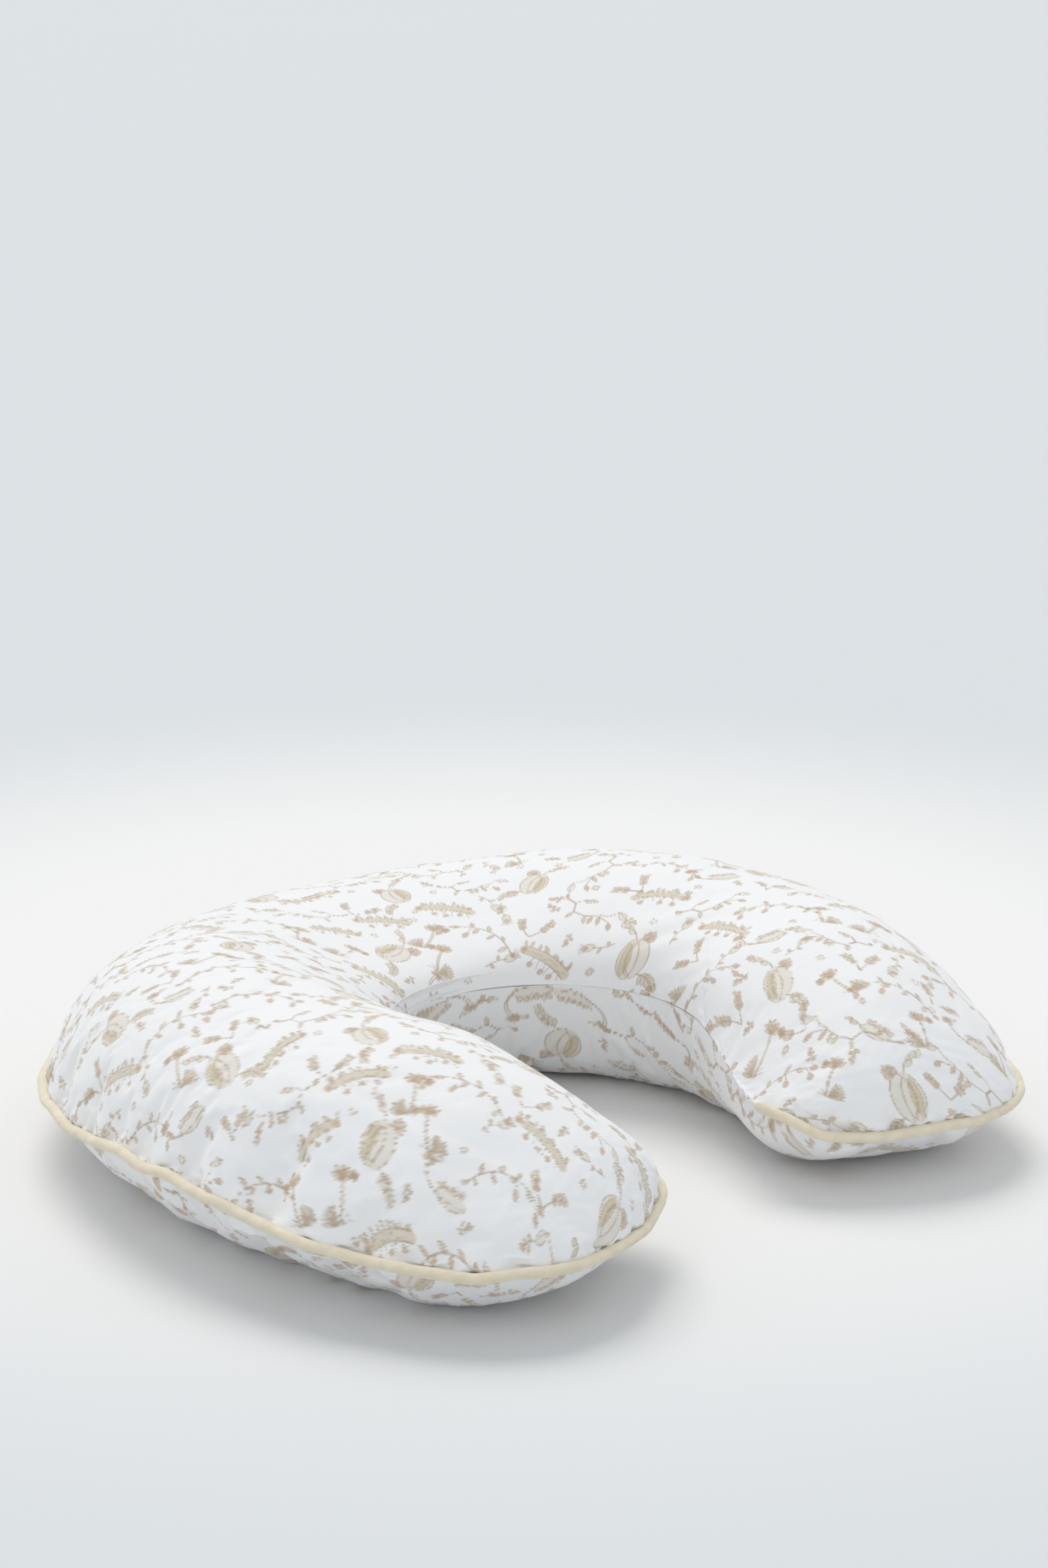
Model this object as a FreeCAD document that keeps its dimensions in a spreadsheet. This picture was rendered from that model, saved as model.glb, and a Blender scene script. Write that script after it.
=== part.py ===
import FreeCAD, Part
import Sketcher
import math
import os

# Nursing pillow: a C-shaped, fibre-filled inner cushion in a zipped, piped cotton cover.
# Millimetres. +Z is up, the mouth of the C faces -Y, and X = 0 is its plane of symmetry.
# The origin is on the floor, under the centre of the pillow's outline.
#
# In plan, places along the seams are given by a turned angle: 0 points to +Y, at the middle
# of the back, and it grows clockwise towards the right horn (+X side).

V = FreeCAD.Vector

DIMENSIONS = {
    # Outer seam in plan: tangent arcs from the middle of the back to the horn's end.
    "back_radius": 274,
    "back_angle": 69,
    "arm_radius": 438,
    "arm_angle": 31,
    "front_radius": 240,
    "front_angle": 26,
    "horn_radius": 88,
    "horn_angle": 79,
    "end_radius": 300,
    "end_angle": 12,
    "corner_radius": 25,
    "curl_to_back": 335,
    # Inner seam in plan: an arc about the curl centre, then a straight run to the inner corner.
    "waist_radius": 97,
    "corner_side": 52,
    "corner_front": 127.3,
    # Heights of the seams. The outer one has a crest along each arm.
    "outer_seam_height": 42,
    "crest_height": 17,
    "crest_start": 250,
    "crest_end": 690,
    "corner_height": 55,
    "corner_rise_length": 60,
    "inner_seam_height": 80,
    # Stuffed shape.
    "back_height": 121,
    "arm_height": 144,
    "horn_height": 137,
    "horn_slope_length": 160,
    "horn_toe_length": 78,
    "floor_half_share": 0.41,
    "crown_waist_power": 0.43,
    "crown_outer_power": 0.83,
    "crown_corner_power": 0.78,
    "underside_power": 1.5,
    "underside_waist_power": 0.5,
    "underside_outer_power": 0.91,
    # Cloth.
    "cover_thickness": 0.9,
    "seam_gap": 2.2,
    "floor_trim": 0.15,
    "liner_seam_inset": 15,
    "liner_waist_inset": 9,
    "liner_height_inset": 3,
    "liner_thickness": 0.8,
    "liner_seam_gap": 0.4,
    "fibre_clearance": 0.3,
    # Piping.
    "piping_bore_radius": 2.6,
    "piping_outer_radius": 3.3,
    "cord_radius": 2.5,
    "piping_stand_off": 0.3,
    "flange_depth": 12,
    "flange_trim": 2.5,
    "flange_half_thickness": 0.8,
    "thread_radius": 0.3,
    "closing_gap": 145,
    "stitch_inset": 2.5,
    "stitch_waist_inset": 4,
    # Zip, in sections that are turned about the curl centre.
    "zip_half_angle": 100,
    "zip_tape_radius": 100.3,
    "zip_tape_thickness": 0.5,
    "zip_tape_width": 9.5,
    "zip_coil_radius": 98.3,
    "zip_coil_depth": 1.8,
    "zip_coil_width": 2.2,
    "zip_half_gap": 0.5,
    "zip_stop_angle": 2,
    "slider_angle": 8,
    "slider_plate_radius": 94.2,
    "slider_plate_thickness": 1.4,
    "slider_plate_width": 9,
    "slider_back_radius": 101.2,
    "slider_back_thickness": 1.2,
    "slider_back_width": 8,
    "slider_neck_thickness": 0.5,
    "bridge_radius": 91.8,
    "bridge_lug_radius": 1.6,
    "bridge_lug_thickness": 1.2,
    "bridge_pin_radius": 0.8,
    "pull_tab_bore_radius": 0.88,
    "pull_tab_knuckle_radius": 1.5,
    "pull_tab_width": 5,
    "pull_tab_length": 21,
    "pull_tab_thickness": 1.2,
    # Labels.
    "woven_label_length": 31,
    "woven_label_drop": 12.5,
    "woven_label_clearance": 4.4,
    "woven_label_thickness": 0.7,
    "woven_label_place": 97,
    "care_label_length": 20,
    "care_label_drop": 24,
    "care_label_thickness": 0.3,
    "care_label_angle": 107,
}

doc = FreeCAD.newDocument("nursing_pillow")
sheet = doc.addObject("Spreadsheet::Sheet", "dimensions")
for row, (alias, value) in enumerate(DIMENSIONS.items(), start=1):
    sheet.set(f"A{row}", alias)
    sheet.set(f"B{row}", str(value))
    sheet.setAlias(f"B{row}", alias)
doc.recompute()


def size(alias):
    """A driving dimension, read back from the sheet."""
    return float(sheet.get(alias))


def turned(angle):
    """Outward unit vector in plan at a turned angle, in radians."""
    return V(math.sin(angle), math.cos(angle), 0)


def heading(angle):
    """Direction of travel, clockwise in plan, at a turned angle in radians."""
    return V(math.cos(angle), -math.sin(angle), 0)


def eased(share):
    """Smooth step from 0 to 1."""
    return share * share * (3 - 2 * share)


# ---------------------------------------------------------------- the two seams in plan


CORNER = V(size("corner_side"), -size("corner_front"), 0)


def outer_arcs():
    """The outer seam's right half as (centre, radius, first angle, last angle), back to corner.

    The curl centre is the origin here. The last arc is the small one that turns the seam
    towards the inner corner, which a straight run then reaches.
    """
    arcs = []
    angle = 0.0
    point = V(0, size("curl_to_back"), 0)
    for name in ("back", "arm", "front", "horn", "end"):
        radius = size(f"{name}_radius")
        centre = point - turned(angle) * radius
        last = angle + math.radians(size(f"{name}_angle"))
        arcs.append((centre, radius, angle, last))
        point = centre + turned(last) * radius
        angle = last
    radius = size("corner_radius")
    centre = point - turned(angle) * radius
    to_corner = CORNER - centre
    facing = math.atan2(to_corner.x, to_corner.y) % (2 * math.pi)
    arcs.append((centre, radius, angle, facing - math.acos(radius / to_corner.Length)))
    return arcs


ARCS = outer_arcs()
HORN = ARCS[3]
ARC_LENGTHS = [radius * (last - first) for _, radius, first, last in ARCS]
HORN_MIDDLE = sum(ARC_LENGTHS[:3]) + ARC_LENGTHS[3] / 2
PLAN_BACK = size("curl_to_back")
PLAN_FRONT = HORN[0].y - HORN[1]
CURL = V(0, -(PLAN_BACK + PLAN_FRONT) / 2, 0)
WAIST_TURN = math.atan2(CORNER.x, CORNER.y) - math.acos(size("waist_radius") / CORNER.Length)


ARCS_LENGTH = sum(ARC_LENGTHS)
RUN_START = ARCS[-1][0] + turned(ARCS[-1][3]) * ARCS[-1][1]
SEAM_LENGTH = ARCS_LENGTH + (CORNER - RUN_START).Length


def seam_height(distance):
    """Height of the outer seam at a distance along it from the middle of the back."""
    start = size("crest_start")
    share = (distance - start) / (size("crest_end") - start)
    crest = math.sin(math.pi * min(max(share, 0.0), 1.0)) ** 2
    rise = max(1 - (SEAM_LENGTH - distance) / size("corner_rise_length"), 0.0) ** 2
    base = size("outer_seam_height")
    return base + size("crest_height") * crest + (size("corner_height") - base) * rise


def outer_place(distance, inset):
    """Point on the inset outer seam, at a distance along the arcs of the full seam."""
    index = 0
    along = distance
    while index < len(ARCS) - 1 and along > ARC_LENGTHS[index]:
        along -= ARC_LENGTHS[index]
        index += 1
    centre, radius, first, _ = ARCS[index]
    place = centre + turned(first + along / radius) * (radius - inset)
    place.z = seam_height(distance)
    return place


def inner_corner(outer_inset, waist_inset):
    """The inner corner with both seams inset."""
    end = turned(ARCS[-1][3])
    waist = turned(WAIST_TURN)
    cross = end.x * waist.y - end.y * waist.x
    place = CORNER + V(
        (-outer_inset * waist.y - waist_inset * end.y) / cross,
        (waist_inset * end.x + outer_inset * waist.x) / cross,
        0,
    )
    run = (place - RUN_START + end * outer_inset).Length
    place.z = seam_height(ARCS_LENGTH + run)
    return place


def straight_run(share, outer_inset, waist_inset):
    """Point on the outer seam's last, rising run: 0 at its start, 1 at the inner corner."""
    start = outer_place(ARCS_LENGTH, outer_inset)
    corner = inner_corner(outer_inset, waist_inset)
    place = start + (corner - start) * share
    run = math.hypot(place.x - start.x, place.y - start.y)
    place.z = seam_height(ARCS_LENGTH + run)
    return place


def waist_place(share, outer_inset, waist_inset):
    """Point on the inset inner seam: 0 at the back, 1 at the inner corner."""
    radius = size("waist_radius") + waist_inset
    height = size("inner_seam_height")
    tangent = turned(WAIST_TURN) * radius
    corner = inner_corner(outer_inset, waist_inset)
    arc = radius * WAIST_TURN
    straight = math.hypot(corner.x - tangent.x, corner.y - tangent.y)
    distance = share * (arc + straight)
    if distance <= arc:
        return turned(distance / radius) * radius + V(0, 0, height)
    along = (distance - arc) / straight
    place = tangent + (corner - tangent) * along
    place.z = height + (corner.z - height) * eased(along)
    return place


def end_place(share, outer_inset, waist_inset):
    """Point on the horn's end: 0 at the inner corner, 1 in the middle of the horn's arc."""
    start = straight_run(0, outer_inset, waist_inset)
    corner = inner_corner(outer_inset, waist_inset)
    straight = math.hypot(corner.x - start.x, corner.y - start.y)
    distance = share * (straight + ARCS_LENGTH - HORN_MIDDLE)
    if distance <= straight:
        return straight_run(1 - distance / straight, outer_inset, waist_inset)
    return outer_place(ARCS_LENGTH - (distance - straight), outer_inset)


# ---------------------------------------------------------------- cloth surfaces

STATIONS_ALONG = 26
STATIONS_HORN = 10
STATIONS_ACROSS = 24
TANGENT = turned(WAIST_TURN) * size("waist_radius")
WAIST_LENGTH = size("waist_radius") * WAIST_TURN + (CORNER - TANGENT).Length
MIDDLE_LENGTH = (HORN_MIDDLE + WAIST_LENGTH) / 2


def shares_along():
    """Shares of the right half's length, closer together where the horn's dome comes down."""
    bend = size("horn_slope_length") / MIDDLE_LENGTH
    plain = [(1 - bend) * k / STATIONS_ALONG for k in range(STATIONS_ALONG)]
    quarter = [math.pi / 2 * k / STATIONS_HORN for k in range(STATIONS_HORN + 1)]
    return plain + [1 - bend * (1 - math.sin(angle)) for angle in quarter]


def plan_point(share, across, outer_inset, waist_inset):
    """Place at the seams' height, at a share of the length and a share of the width."""
    inner = waist_place(share, outer_inset, waist_inset)
    outer = outer_place(share * HORN_MIDDLE, outer_inset)
    corner = inner_corner(outer_inset, waist_inset)
    horn_front = outer_place(HORN_MIDDLE, outer_inset)
    chord = inner * (1 - across) + outer * across
    last_chord = corner * (1 - across) + horn_front * across
    return chord + (end_place(across, outer_inset, waist_inset) - last_chord) * share**4


def from_end(share, alias):
    """0 at the horn's end, growing to 1 at the distance named in the sheet."""
    return min((1 - share) * MIDDLE_LENGTH / size(alias), 1.0)


def crown(share, across):
    """How much of its full height the top has: 0 on the seams, 1 along the middle."""
    waist = size("crown_waist_power") + size("crown_corner_power") * eased(max(3 * share - 2, 0))
    power = waist * (1 - across) + size("crown_outer_power") * across
    end = from_end(share, "horn_slope_length")
    return (1 - (2 * across - 1) ** 2) ** power * math.sqrt(1 - (1 - end) ** 2)


def dome_height(share):
    """Height of the middle of the top along the pillow."""
    back = size("back_height")
    arm = size("arm_height")
    horn = size("horn_height")
    if share < 0.5:
        return back + (arm - back) * math.sin(math.pi * share) ** 2
    return arm + (horn - arm) * (2 * share - 1)


def underside(share, across):
    """How far the underside has risen from the floor to the seam: 0 flat, 1 at the seam."""
    flat = size("floor_half_share")
    side = max(abs(2 * across - 1) - flat, 0) / (1 - flat)
    edge = min(math.hypot(side, 1 - from_end(share, "horn_toe_length")), 1.0)
    power = size("underside_waist_power") * (1 - across) + size("underside_outer_power") * across
    return 1 - (1 - edge ** size("underside_power")) ** power


def top_grid(outer_inset, waist_inset, height_inset, lift):
    """Poles of an upper surface, from the left horn to the right."""

    def pole(share, across):
        place = plan_point(share, across, outer_inset, waist_inset)
        full = dome_height(share) - height_inset - place.z
        place.z += lift + full * crown(share, across)
        return place

    return both_halves(pole)


def bottom_grid(outer_inset, waist_inset, floor, drop):
    """Poles of a lower surface, flat at the given floor height along its middle."""

    def pole(share, across):
        place = plan_point(share, across, outer_inset, waist_inset)
        place.z = floor + (place.z - drop - floor) * underside(share, across)
        return place

    return both_halves(pole)


def both_halves(pole):
    """The grid of poles over the whole pillow, mirrored in X = 0 and moved to the row frame."""
    across = [(1 - math.cos(math.pi * k / STATIONS_ACROSS)) / 2 for k in range(STATIONS_ACROSS + 1)]
    right = [[pole(share, side) + CURL for side in across] for share in shares_along()]
    left = [[V(-p.x, p.y, p.z) for p in line] for line in reversed(right[1:])]
    return left + right


def clamped_knots(count):
    """Knots and multiplicities of a clamped cubic through that many poles."""
    inner = count - 3
    return [float(k) for k in range(inner + 1)], [4] + [1] * (inner - 1) + [4]


def patch(grid):
    """Cubic surface over a grid of poles."""
    knots_u, mults_u = clamped_knots(len(grid))
    knots_v, mults_v = clamped_knots(len(grid[0]))
    surface = Part.BSplineSurface()
    surface.buildFromPolesMultsKnots(
        grid, mults_u, mults_v, knots_u, knots_v, False, False, 3, 3
    )
    return surface.toShape()


def edge_strip(line_a, line_b):
    """Narrow surface that joins the matching borders of two patches."""
    knots, mults = clamped_knots(len(line_a))
    surface = Part.BSplineSurface()
    surface.buildFromPolesMultsKnots(
        [line_a, line_b], [2, 2], mults, [0.0, 1.0], knots, False, False, 1, 3
    )
    return surface.toShape()


def borders(grid):
    """The four border lines of a grid of poles."""
    return [grid[0], grid[-1], [line[0] for line in grid], [line[-1] for line in grid]]


def solid_of(faces):
    """Closed solid bounded by faces that meet along their borders."""
    shell = Part.makeShell(faces)
    shell.sewShape()
    solid = Part.makeSolid(shell)
    if solid.Volume < 0:
        solid.reverse()
    return solid


def cloth(outside, inside):
    """Sheet of cloth between two grids, closed all round its border."""
    strips = [edge_strip(a, b) for a, b in zip(borders(outside), borders(inside))]
    return solid_of([patch(outside), patch(inside)] + strips)


def add_shape(name, shape):
    """A sub-part whose shape comes from Part's own functions."""
    feature = doc.addObject("Part::Feature", name)
    feature.Label = name
    feature.Shape = shape
    feature.Placement = FreeCAD.Placement()
    return feature


def cover_top():
    """Upper panel of the cover: a domed sheet, open underneath."""
    thick = size("cover_thickness")
    lift = size("seam_gap") / 2
    return add_shape("cover_top", cloth(top_grid(0, 0, 0, lift), top_grid(thick, thick, thick, lift)))


def cover_bottom():
    """Lower panel of the cover, cut flat where it rests on the floor."""
    thick = size("cover_thickness")
    drop = size("seam_gap") / 2
    outside = bottom_grid(0, 0, -size("floor_trim"), drop)
    inside = bottom_grid(thick, thick, thick, drop)
    side = 2 * PLAN_BACK
    below = Part.makeBox(2 * side, 2 * side, side, V(-side, -side, -side))
    return add_shape("cover_bottom", cloth(outside, inside).cut(below).Solids[0])


def liner_insets(extra):
    """Insets of the inner cushion's cloth, plus how far a layer lies inside its outside."""
    return (
        size("liner_seam_inset") + extra,
        size("liner_waist_inset") + extra,
        size("liner_height_inset") + extra,
    )


def liner_top():
    """Upper panel of the inner cushion's case."""
    lift = size("liner_seam_gap") / 2
    outside = top_grid(*liner_insets(0), lift)
    inside = top_grid(*liner_insets(size("liner_thickness")), lift)
    return add_shape("liner_top", cloth(outside, inside))


def liner_bottom():
    """Lower panel of the inner cushion's case."""
    drop = size("liner_seam_gap") / 2
    outside = bottom_grid(*liner_insets(0), drop)
    inside = bottom_grid(*liner_insets(size("liner_thickness")), drop)
    return add_shape("liner_bottom", cloth(outside, inside))


def fibre_filling():
    """The fibre as one closed solid that fills the case."""
    insets = liner_insets(size("liner_thickness") + size("fibre_clearance"))
    faces = [patch(top_grid(*insets, 0)), patch(bottom_grid(*insets, 0))]
    return add_shape("fibre_filling", solid_of(faces))


# ---------------------------------------------------------------- piping and threads


PATH_TURN = math.radians(4)
RING_SIDES = 20
BORE_SIDES = 14
THREAD_SIDES = 8
RUN_STEPS = 4
CLOSING_STEPS = 4


def mirrored(point):
    """The same point on the left half."""
    return V(-point.x, point.y, point.z)


def seam_points(outset, lift=0.0, waist_inset=0.0, start=0.0):
    """Points along the right half of the outer seam, one for each small turn of it."""
    points = [outer_place(start, -outset)]
    passed = 0.0
    for (_, radius, first, last), length in zip(ARCS, ARC_LENGTHS):
        count = math.ceil((last - first) / PATH_TURN)
        stations = [passed + length * (k + 1) / count for k in range(count)]
        points += [outer_place(s, -outset) for s in stations if s > start + radius * PATH_TURN / 2]
        passed += length
    points += [straight_run((k + 1) / RUN_STEPS, -outset, waist_inset) for k in range(RUN_STEPS)]
    return [p + CURL + V(0, 0, lift) for p in points]


def whole_line(outset, lift=0.0, waist_inset=0.0):
    """Points on the outer seam from the left inner corner round to the right one."""
    right = seam_points(outset, lift, waist_inset)
    return [mirrored(point) for point in reversed(right[1:])] + right


def arc_corners(radius, first, last, count):
    """Corners along an arc in a section's plane, as distances outwards and up."""
    angles = [first + (last - first) * k / count for k in range(count + 1)]
    return [(radius * math.cos(angle), radius * math.sin(angle)) for angle in angles]


def carried(section, points):
    """A section's corners set out across each point of a path, without leaning sideways."""
    rows = []
    for index, point in enumerate(points):
        ahead = points[min(index + 1, len(points) - 1)] - points[max(index - 1, 0)]
        outwards = V(-ahead.y, ahead.x, 0).normalize()
        upwards = ahead.cross(outwards).normalize()
        rows.append([point + outwards * x + upwards * z for x, z in section])
    return rows


def along_seam(section, points):
    """Closed section carried along a seam, with flat ends."""
    rows = carried(section, points)
    rails = [[row[place] for row in rows] for place in range(len(section))]
    faces = [edge_strip(a, b) for a, b in zip(rails, rails[1:] + rails[:1])]
    ends = [Part.Face(Part.makePolygon(row + row[:1])) for row in (rows[0], rows[-1])]
    return solid_of(faces + ends)


def thread_along(points):
    """Sewing thread of nearly round section along a seam."""
    section = arc_corners(size("thread_radius"), 0, 2 * math.pi, THREAD_SIDES)[:-1]
    return along_seam(section, points)


def piping_outset():
    """How far the piping's middle stands out from the seam."""
    return size("piping_outer_radius") + size("piping_stand_off")


def strip_section():
    """Section of the strip folded round the cord: most of a ring, then two layers of flange."""
    bore = size("piping_bore_radius")
    outer = size("piping_outer_radius")
    flange = size("flange_half_thickness")
    slit = flange - (outer - bore)
    depth = -size("flange_depth")
    outer_edge = math.pi - math.asin(flange / outer)
    bore_edge = math.pi - math.asin(slit / bore)
    section = arc_corners(outer, outer_edge, -outer_edge, RING_SIDES)
    section += [(depth, -flange), (depth, -slit)]
    section += arc_corners(bore, -bore_edge, bore_edge, BORE_SIDES)
    return section + [(depth, slit), (depth, flange)]


def trimmed(name, uncut):
    """A swept piece cut off clear of the straight waist walls beside both inner corners."""
    deep = 2 * size("flange_depth")
    long = CORNER.Length
    box = Part.makeBox(deep, 2 * long, 2 * size("inner_seam_height"), V(-deep, -long, 0))
    wall = CURL + turned(WAIST_TURN) * (size("waist_radius") + size("flange_trim"))
    box.Placement = FreeCAD.Placement(wall, FreeCAD.Rotation(V(1, 0, 0), turned(WAIST_TURN)))
    both = Part.makeCompound([box, box.mirror(V(0, 0, 0), V(1, 0, 0))])
    trimmer = add_shape(f"{name}_trimmer", both)
    cut = doc.addObject("Part::Cut", name)
    cut.Label = name
    cut.Base = uncut
    cut.Tool = trimmer
    return cut


def piping():
    """The bias-cut strip with its flange, and the filler cord inside it."""
    points = whole_line(piping_outset())
    strip = add_shape("piping_strip", along_seam(strip_section(), points))
    section = arc_corners(size("cord_radius"), 0, 2 * math.pi, BORE_SIDES)[:-1]
    cord = add_shape("piping_filler", along_seam(section, points))
    return [trimmed("piping_cover", strip), trimmed("piping_cord", cord)]


def seam_threads():
    """Lockstitch lines as continuous threads: the cover's, the case's and its closing stitch."""
    stitch = size("thread_radius")
    above_flange = size("flange_half_thickness") + 1.5 * stitch
    inside_cover = -(size("cover_thickness") + size("stitch_inset"))
    cover = thread_along(whole_line(inside_cover, above_flange, size("stitch_waist_inset")))
    outside_case = -(size("liner_seam_inset") - 2 * stitch)
    case_waist = size("liner_waist_inset") - 2 * stitch
    gap = size("closing_gap") / 2
    right = seam_points(outside_case, 0, case_waist, gap)
    left = [mirrored(point) for point in right]
    shorter = gap - 4 * stitch
    middle = [outer_place(shorter * k / CLOSING_STEPS, -outside_case) for k in range(CLOSING_STEPS + 1)]
    middle = [point + CURL for point in [mirrored(p) for p in reversed(middle[1:])] + middle]
    return [
        add_shape("cover_seam_thread", cover),
        add_shape("liner_seam_thread", Part.makeCompound([thread_along(right), thread_along(left)])),
        add_shape("liner_closing_thread", thread_along(middle)),
    ]


# ---------------------------------------------------------------- turned pieces


def origin_plane(body, role):
    """One of a body's own base planes."""
    return next(item for item in body.Origin.OriginFeatures if item.Role == role)


def new_sketch(body, name, role):
    """Empty sketch on one of a body's base planes."""
    sketch = body.newObject("Sketcher::SketchObject", name)
    sketch.AttachmentSupport = (origin_plane(body, role), [""])
    sketch.MapMode = "FlatFace"
    return sketch


def closed_outline(sketch, points):
    """Straight-sided closed outline, its corners joined."""
    count = len(points)
    for k in range(count):
        line = Part.LineSegment(V(*points[k], 0), V(*points[(k + 1) % count], 0))
        sketch.addGeometry(line, False)
    for k in range(count):
        sketch.addConstraint(Sketcher.Constraint("Coincident", k, 2, (k + 1) % count, 1))


def rectangle(sketch, low, high):
    """Rectangle between two corners."""
    closed_outline(sketch, [low, (high[0], low[1]), high, (low[0], high[1])])


def turned_about(centre, angle_deg):
    """Placement that puts a body's +X, seen from its own axis, at a turned angle in plan."""
    return FreeCAD.Placement(centre, FreeCAD.Rotation(V(0, 0, 1), 90 - angle_deg))


def turned_piece(name, outline, spread, centre=None, place=0.0):
    """Section in the radius-height plane, turned about a vertical axis through an angle."""
    body = doc.addObject("PartDesign::Body", name)
    body.Label = name
    sketch = new_sketch(body, f"{name}_section", "XZ_Plane")
    closed_outline(sketch, outline)
    turn = body.newObject("PartDesign::Revolution", f"{name}_turn")
    turn.Profile = sketch
    turn.ReferenceAxis = (sketch, ["V_Axis"])
    turn.Midplane = True
    turn.setExpression("Angle", spread)
    body.Placement = turned_about(CURL if centre is None else centre, place)
    return body


def box_outline(radius, depth, low, high):
    """Rectangle in the radius-height plane."""
    return [(radius, low), (radius + depth, low), (radius + depth, high), (radius, high)]


def waist_heights(first, last):
    """Two heights measured up from the inner seam, lowest first."""
    middle = size("inner_seam_height")
    return sorted((middle + first, middle + last))


def zip_side(side, sign):
    """Tape, coil and tape stitching on one side of the zip: sign is +1 above the seam."""
    full = "2 * dimensions.zip_half_angle"
    gap = size("zip_half_gap")
    tape_radius = size("zip_tape_radius")
    tape_thick = size("zip_tape_thickness")
    coil_width = size("zip_coil_width")
    tape = turned_piece(
        f"zip_tape_{side}",
        box_outline(tape_radius, tape_thick, *waist_heights(sign * gap, sign * size("zip_tape_width"))),
        full,
    )
    coil = turned_piece(
        f"zip_coil_{side}",
        box_outline(
            size("zip_coil_radius"),
            size("zip_coil_depth"),
            *waist_heights(sign * gap, sign * (gap + coil_width)),
        ),
        full,
    )
    stitch_radius = tape_radius + tape_thick + 0.1
    stitch = size("thread_radius")
    thread = turned_piece(
        f"zip_thread_{side}",
        box_outline(stitch_radius, 2 * stitch, *waist_heights(sign * 8, sign * (8 + 2 * stitch))),
        full,
    )
    return [tape, coil, thread]


def zip_stops():
    """Two small stops at the closed end, and one across both coils at the open end."""
    gap = size("zip_half_gap")
    width = size("zip_coil_width")
    inner = size("zip_coil_radius")
    deep = size("zip_coil_depth")
    spread = "dimensions.zip_stop_angle"
    beyond = size("zip_half_angle") + size("zip_stop_angle") / 2 + 0.1
    uppers = turned_piece(
        "zip_top_stop_upper",
        box_outline(inner, deep, *waist_heights(gap, gap + width)),
        spread,
        place=-beyond,
    )
    lowers = turned_piece(
        "zip_top_stop_lower",
        box_outline(inner, deep, *waist_heights(-gap, -gap - width)),
        spread,
        place=-beyond,
    )
    pair = doc.addObject("Part::Compound", "zip_top_stops")
    pair.Label = "zip_top_stops"
    pair.Links = [uppers, lowers]
    bottom = turned_piece(
        "zip_bottom_stop",
        box_outline(inner, deep, *waist_heights(-gap - width, gap + width)),
        spread,
        place=beyond,
    )
    return [pair, bottom]


def slider_place():
    """Turned angle of the slider at rest, in degrees, closed against the left stops."""
    return -(size("zip_half_angle") - size("slider_angle") / 2 - 0.5)


def zip_slider():
    """Front and back plates joined by a thin neck, with the bridge that holds the pull tab."""
    neck = size("slider_neck_thickness") / 2
    front = size("slider_plate_radius")
    front_end = front + size("slider_plate_thickness")
    front_half = size("slider_plate_width") / 2
    back = size("slider_back_radius")
    back_end = back + size("slider_back_thickness")
    back_half = size("slider_back_width") / 2
    middle = size("inner_seam_height")
    half = [
        (front, front_half),
        (front_end, front_half),
        (front_end, neck),
        (back, neck),
        (back, back_half),
        (back_end, back_half),
    ]
    outline = [(r, middle + z) for r, z in half] + [(r, middle - z) for r, z in reversed(half)]
    body = turned_piece("zip_slider", outline, "dimensions.slider_angle", place=slider_place())
    lug_low = size("pull_tab_width") / 2 + 0.25
    lug_high = lug_low + size("bridge_lug_thickness")
    for name, base, top in (
        ("bridge_lug_upper", lug_low, lug_high),
        ("bridge_lug_lower", -lug_high, -lug_low),
    ):
        lug = new_sketch(body, name, "XY_Plane")
        lug.AttachmentOffset = FreeCAD.Placement(V(0, 0, middle + base), FreeCAD.Rotation())
        reach = size("bridge_radius") - size("bridge_lug_radius")
        rectangle(lug, (reach, -size("bridge_lug_radius")), (front + 0.4, size("bridge_lug_radius")))
        pad = body.newObject("PartDesign::Pad", f"{name}_pad")
        pad.Profile = lug
        pad.Length = top - base
    pin = new_sketch(body, "bridge_pin", "XY_Plane")
    pin.AttachmentOffset = FreeCAD.Placement(V(0, 0, middle - lug_low - 0.2), FreeCAD.Rotation())
    pin.addGeometry(Part.Circle(V(size("bridge_radius"), 0, 0), V(0, 0, 1), size("bridge_pin_radius")))
    pad = body.newObject("PartDesign::Pad", "bridge_pin_pad")
    pad.Profile = pin
    pad.Length = 2 * lug_low + 0.4
    body.Tip = pad
    return body


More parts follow.
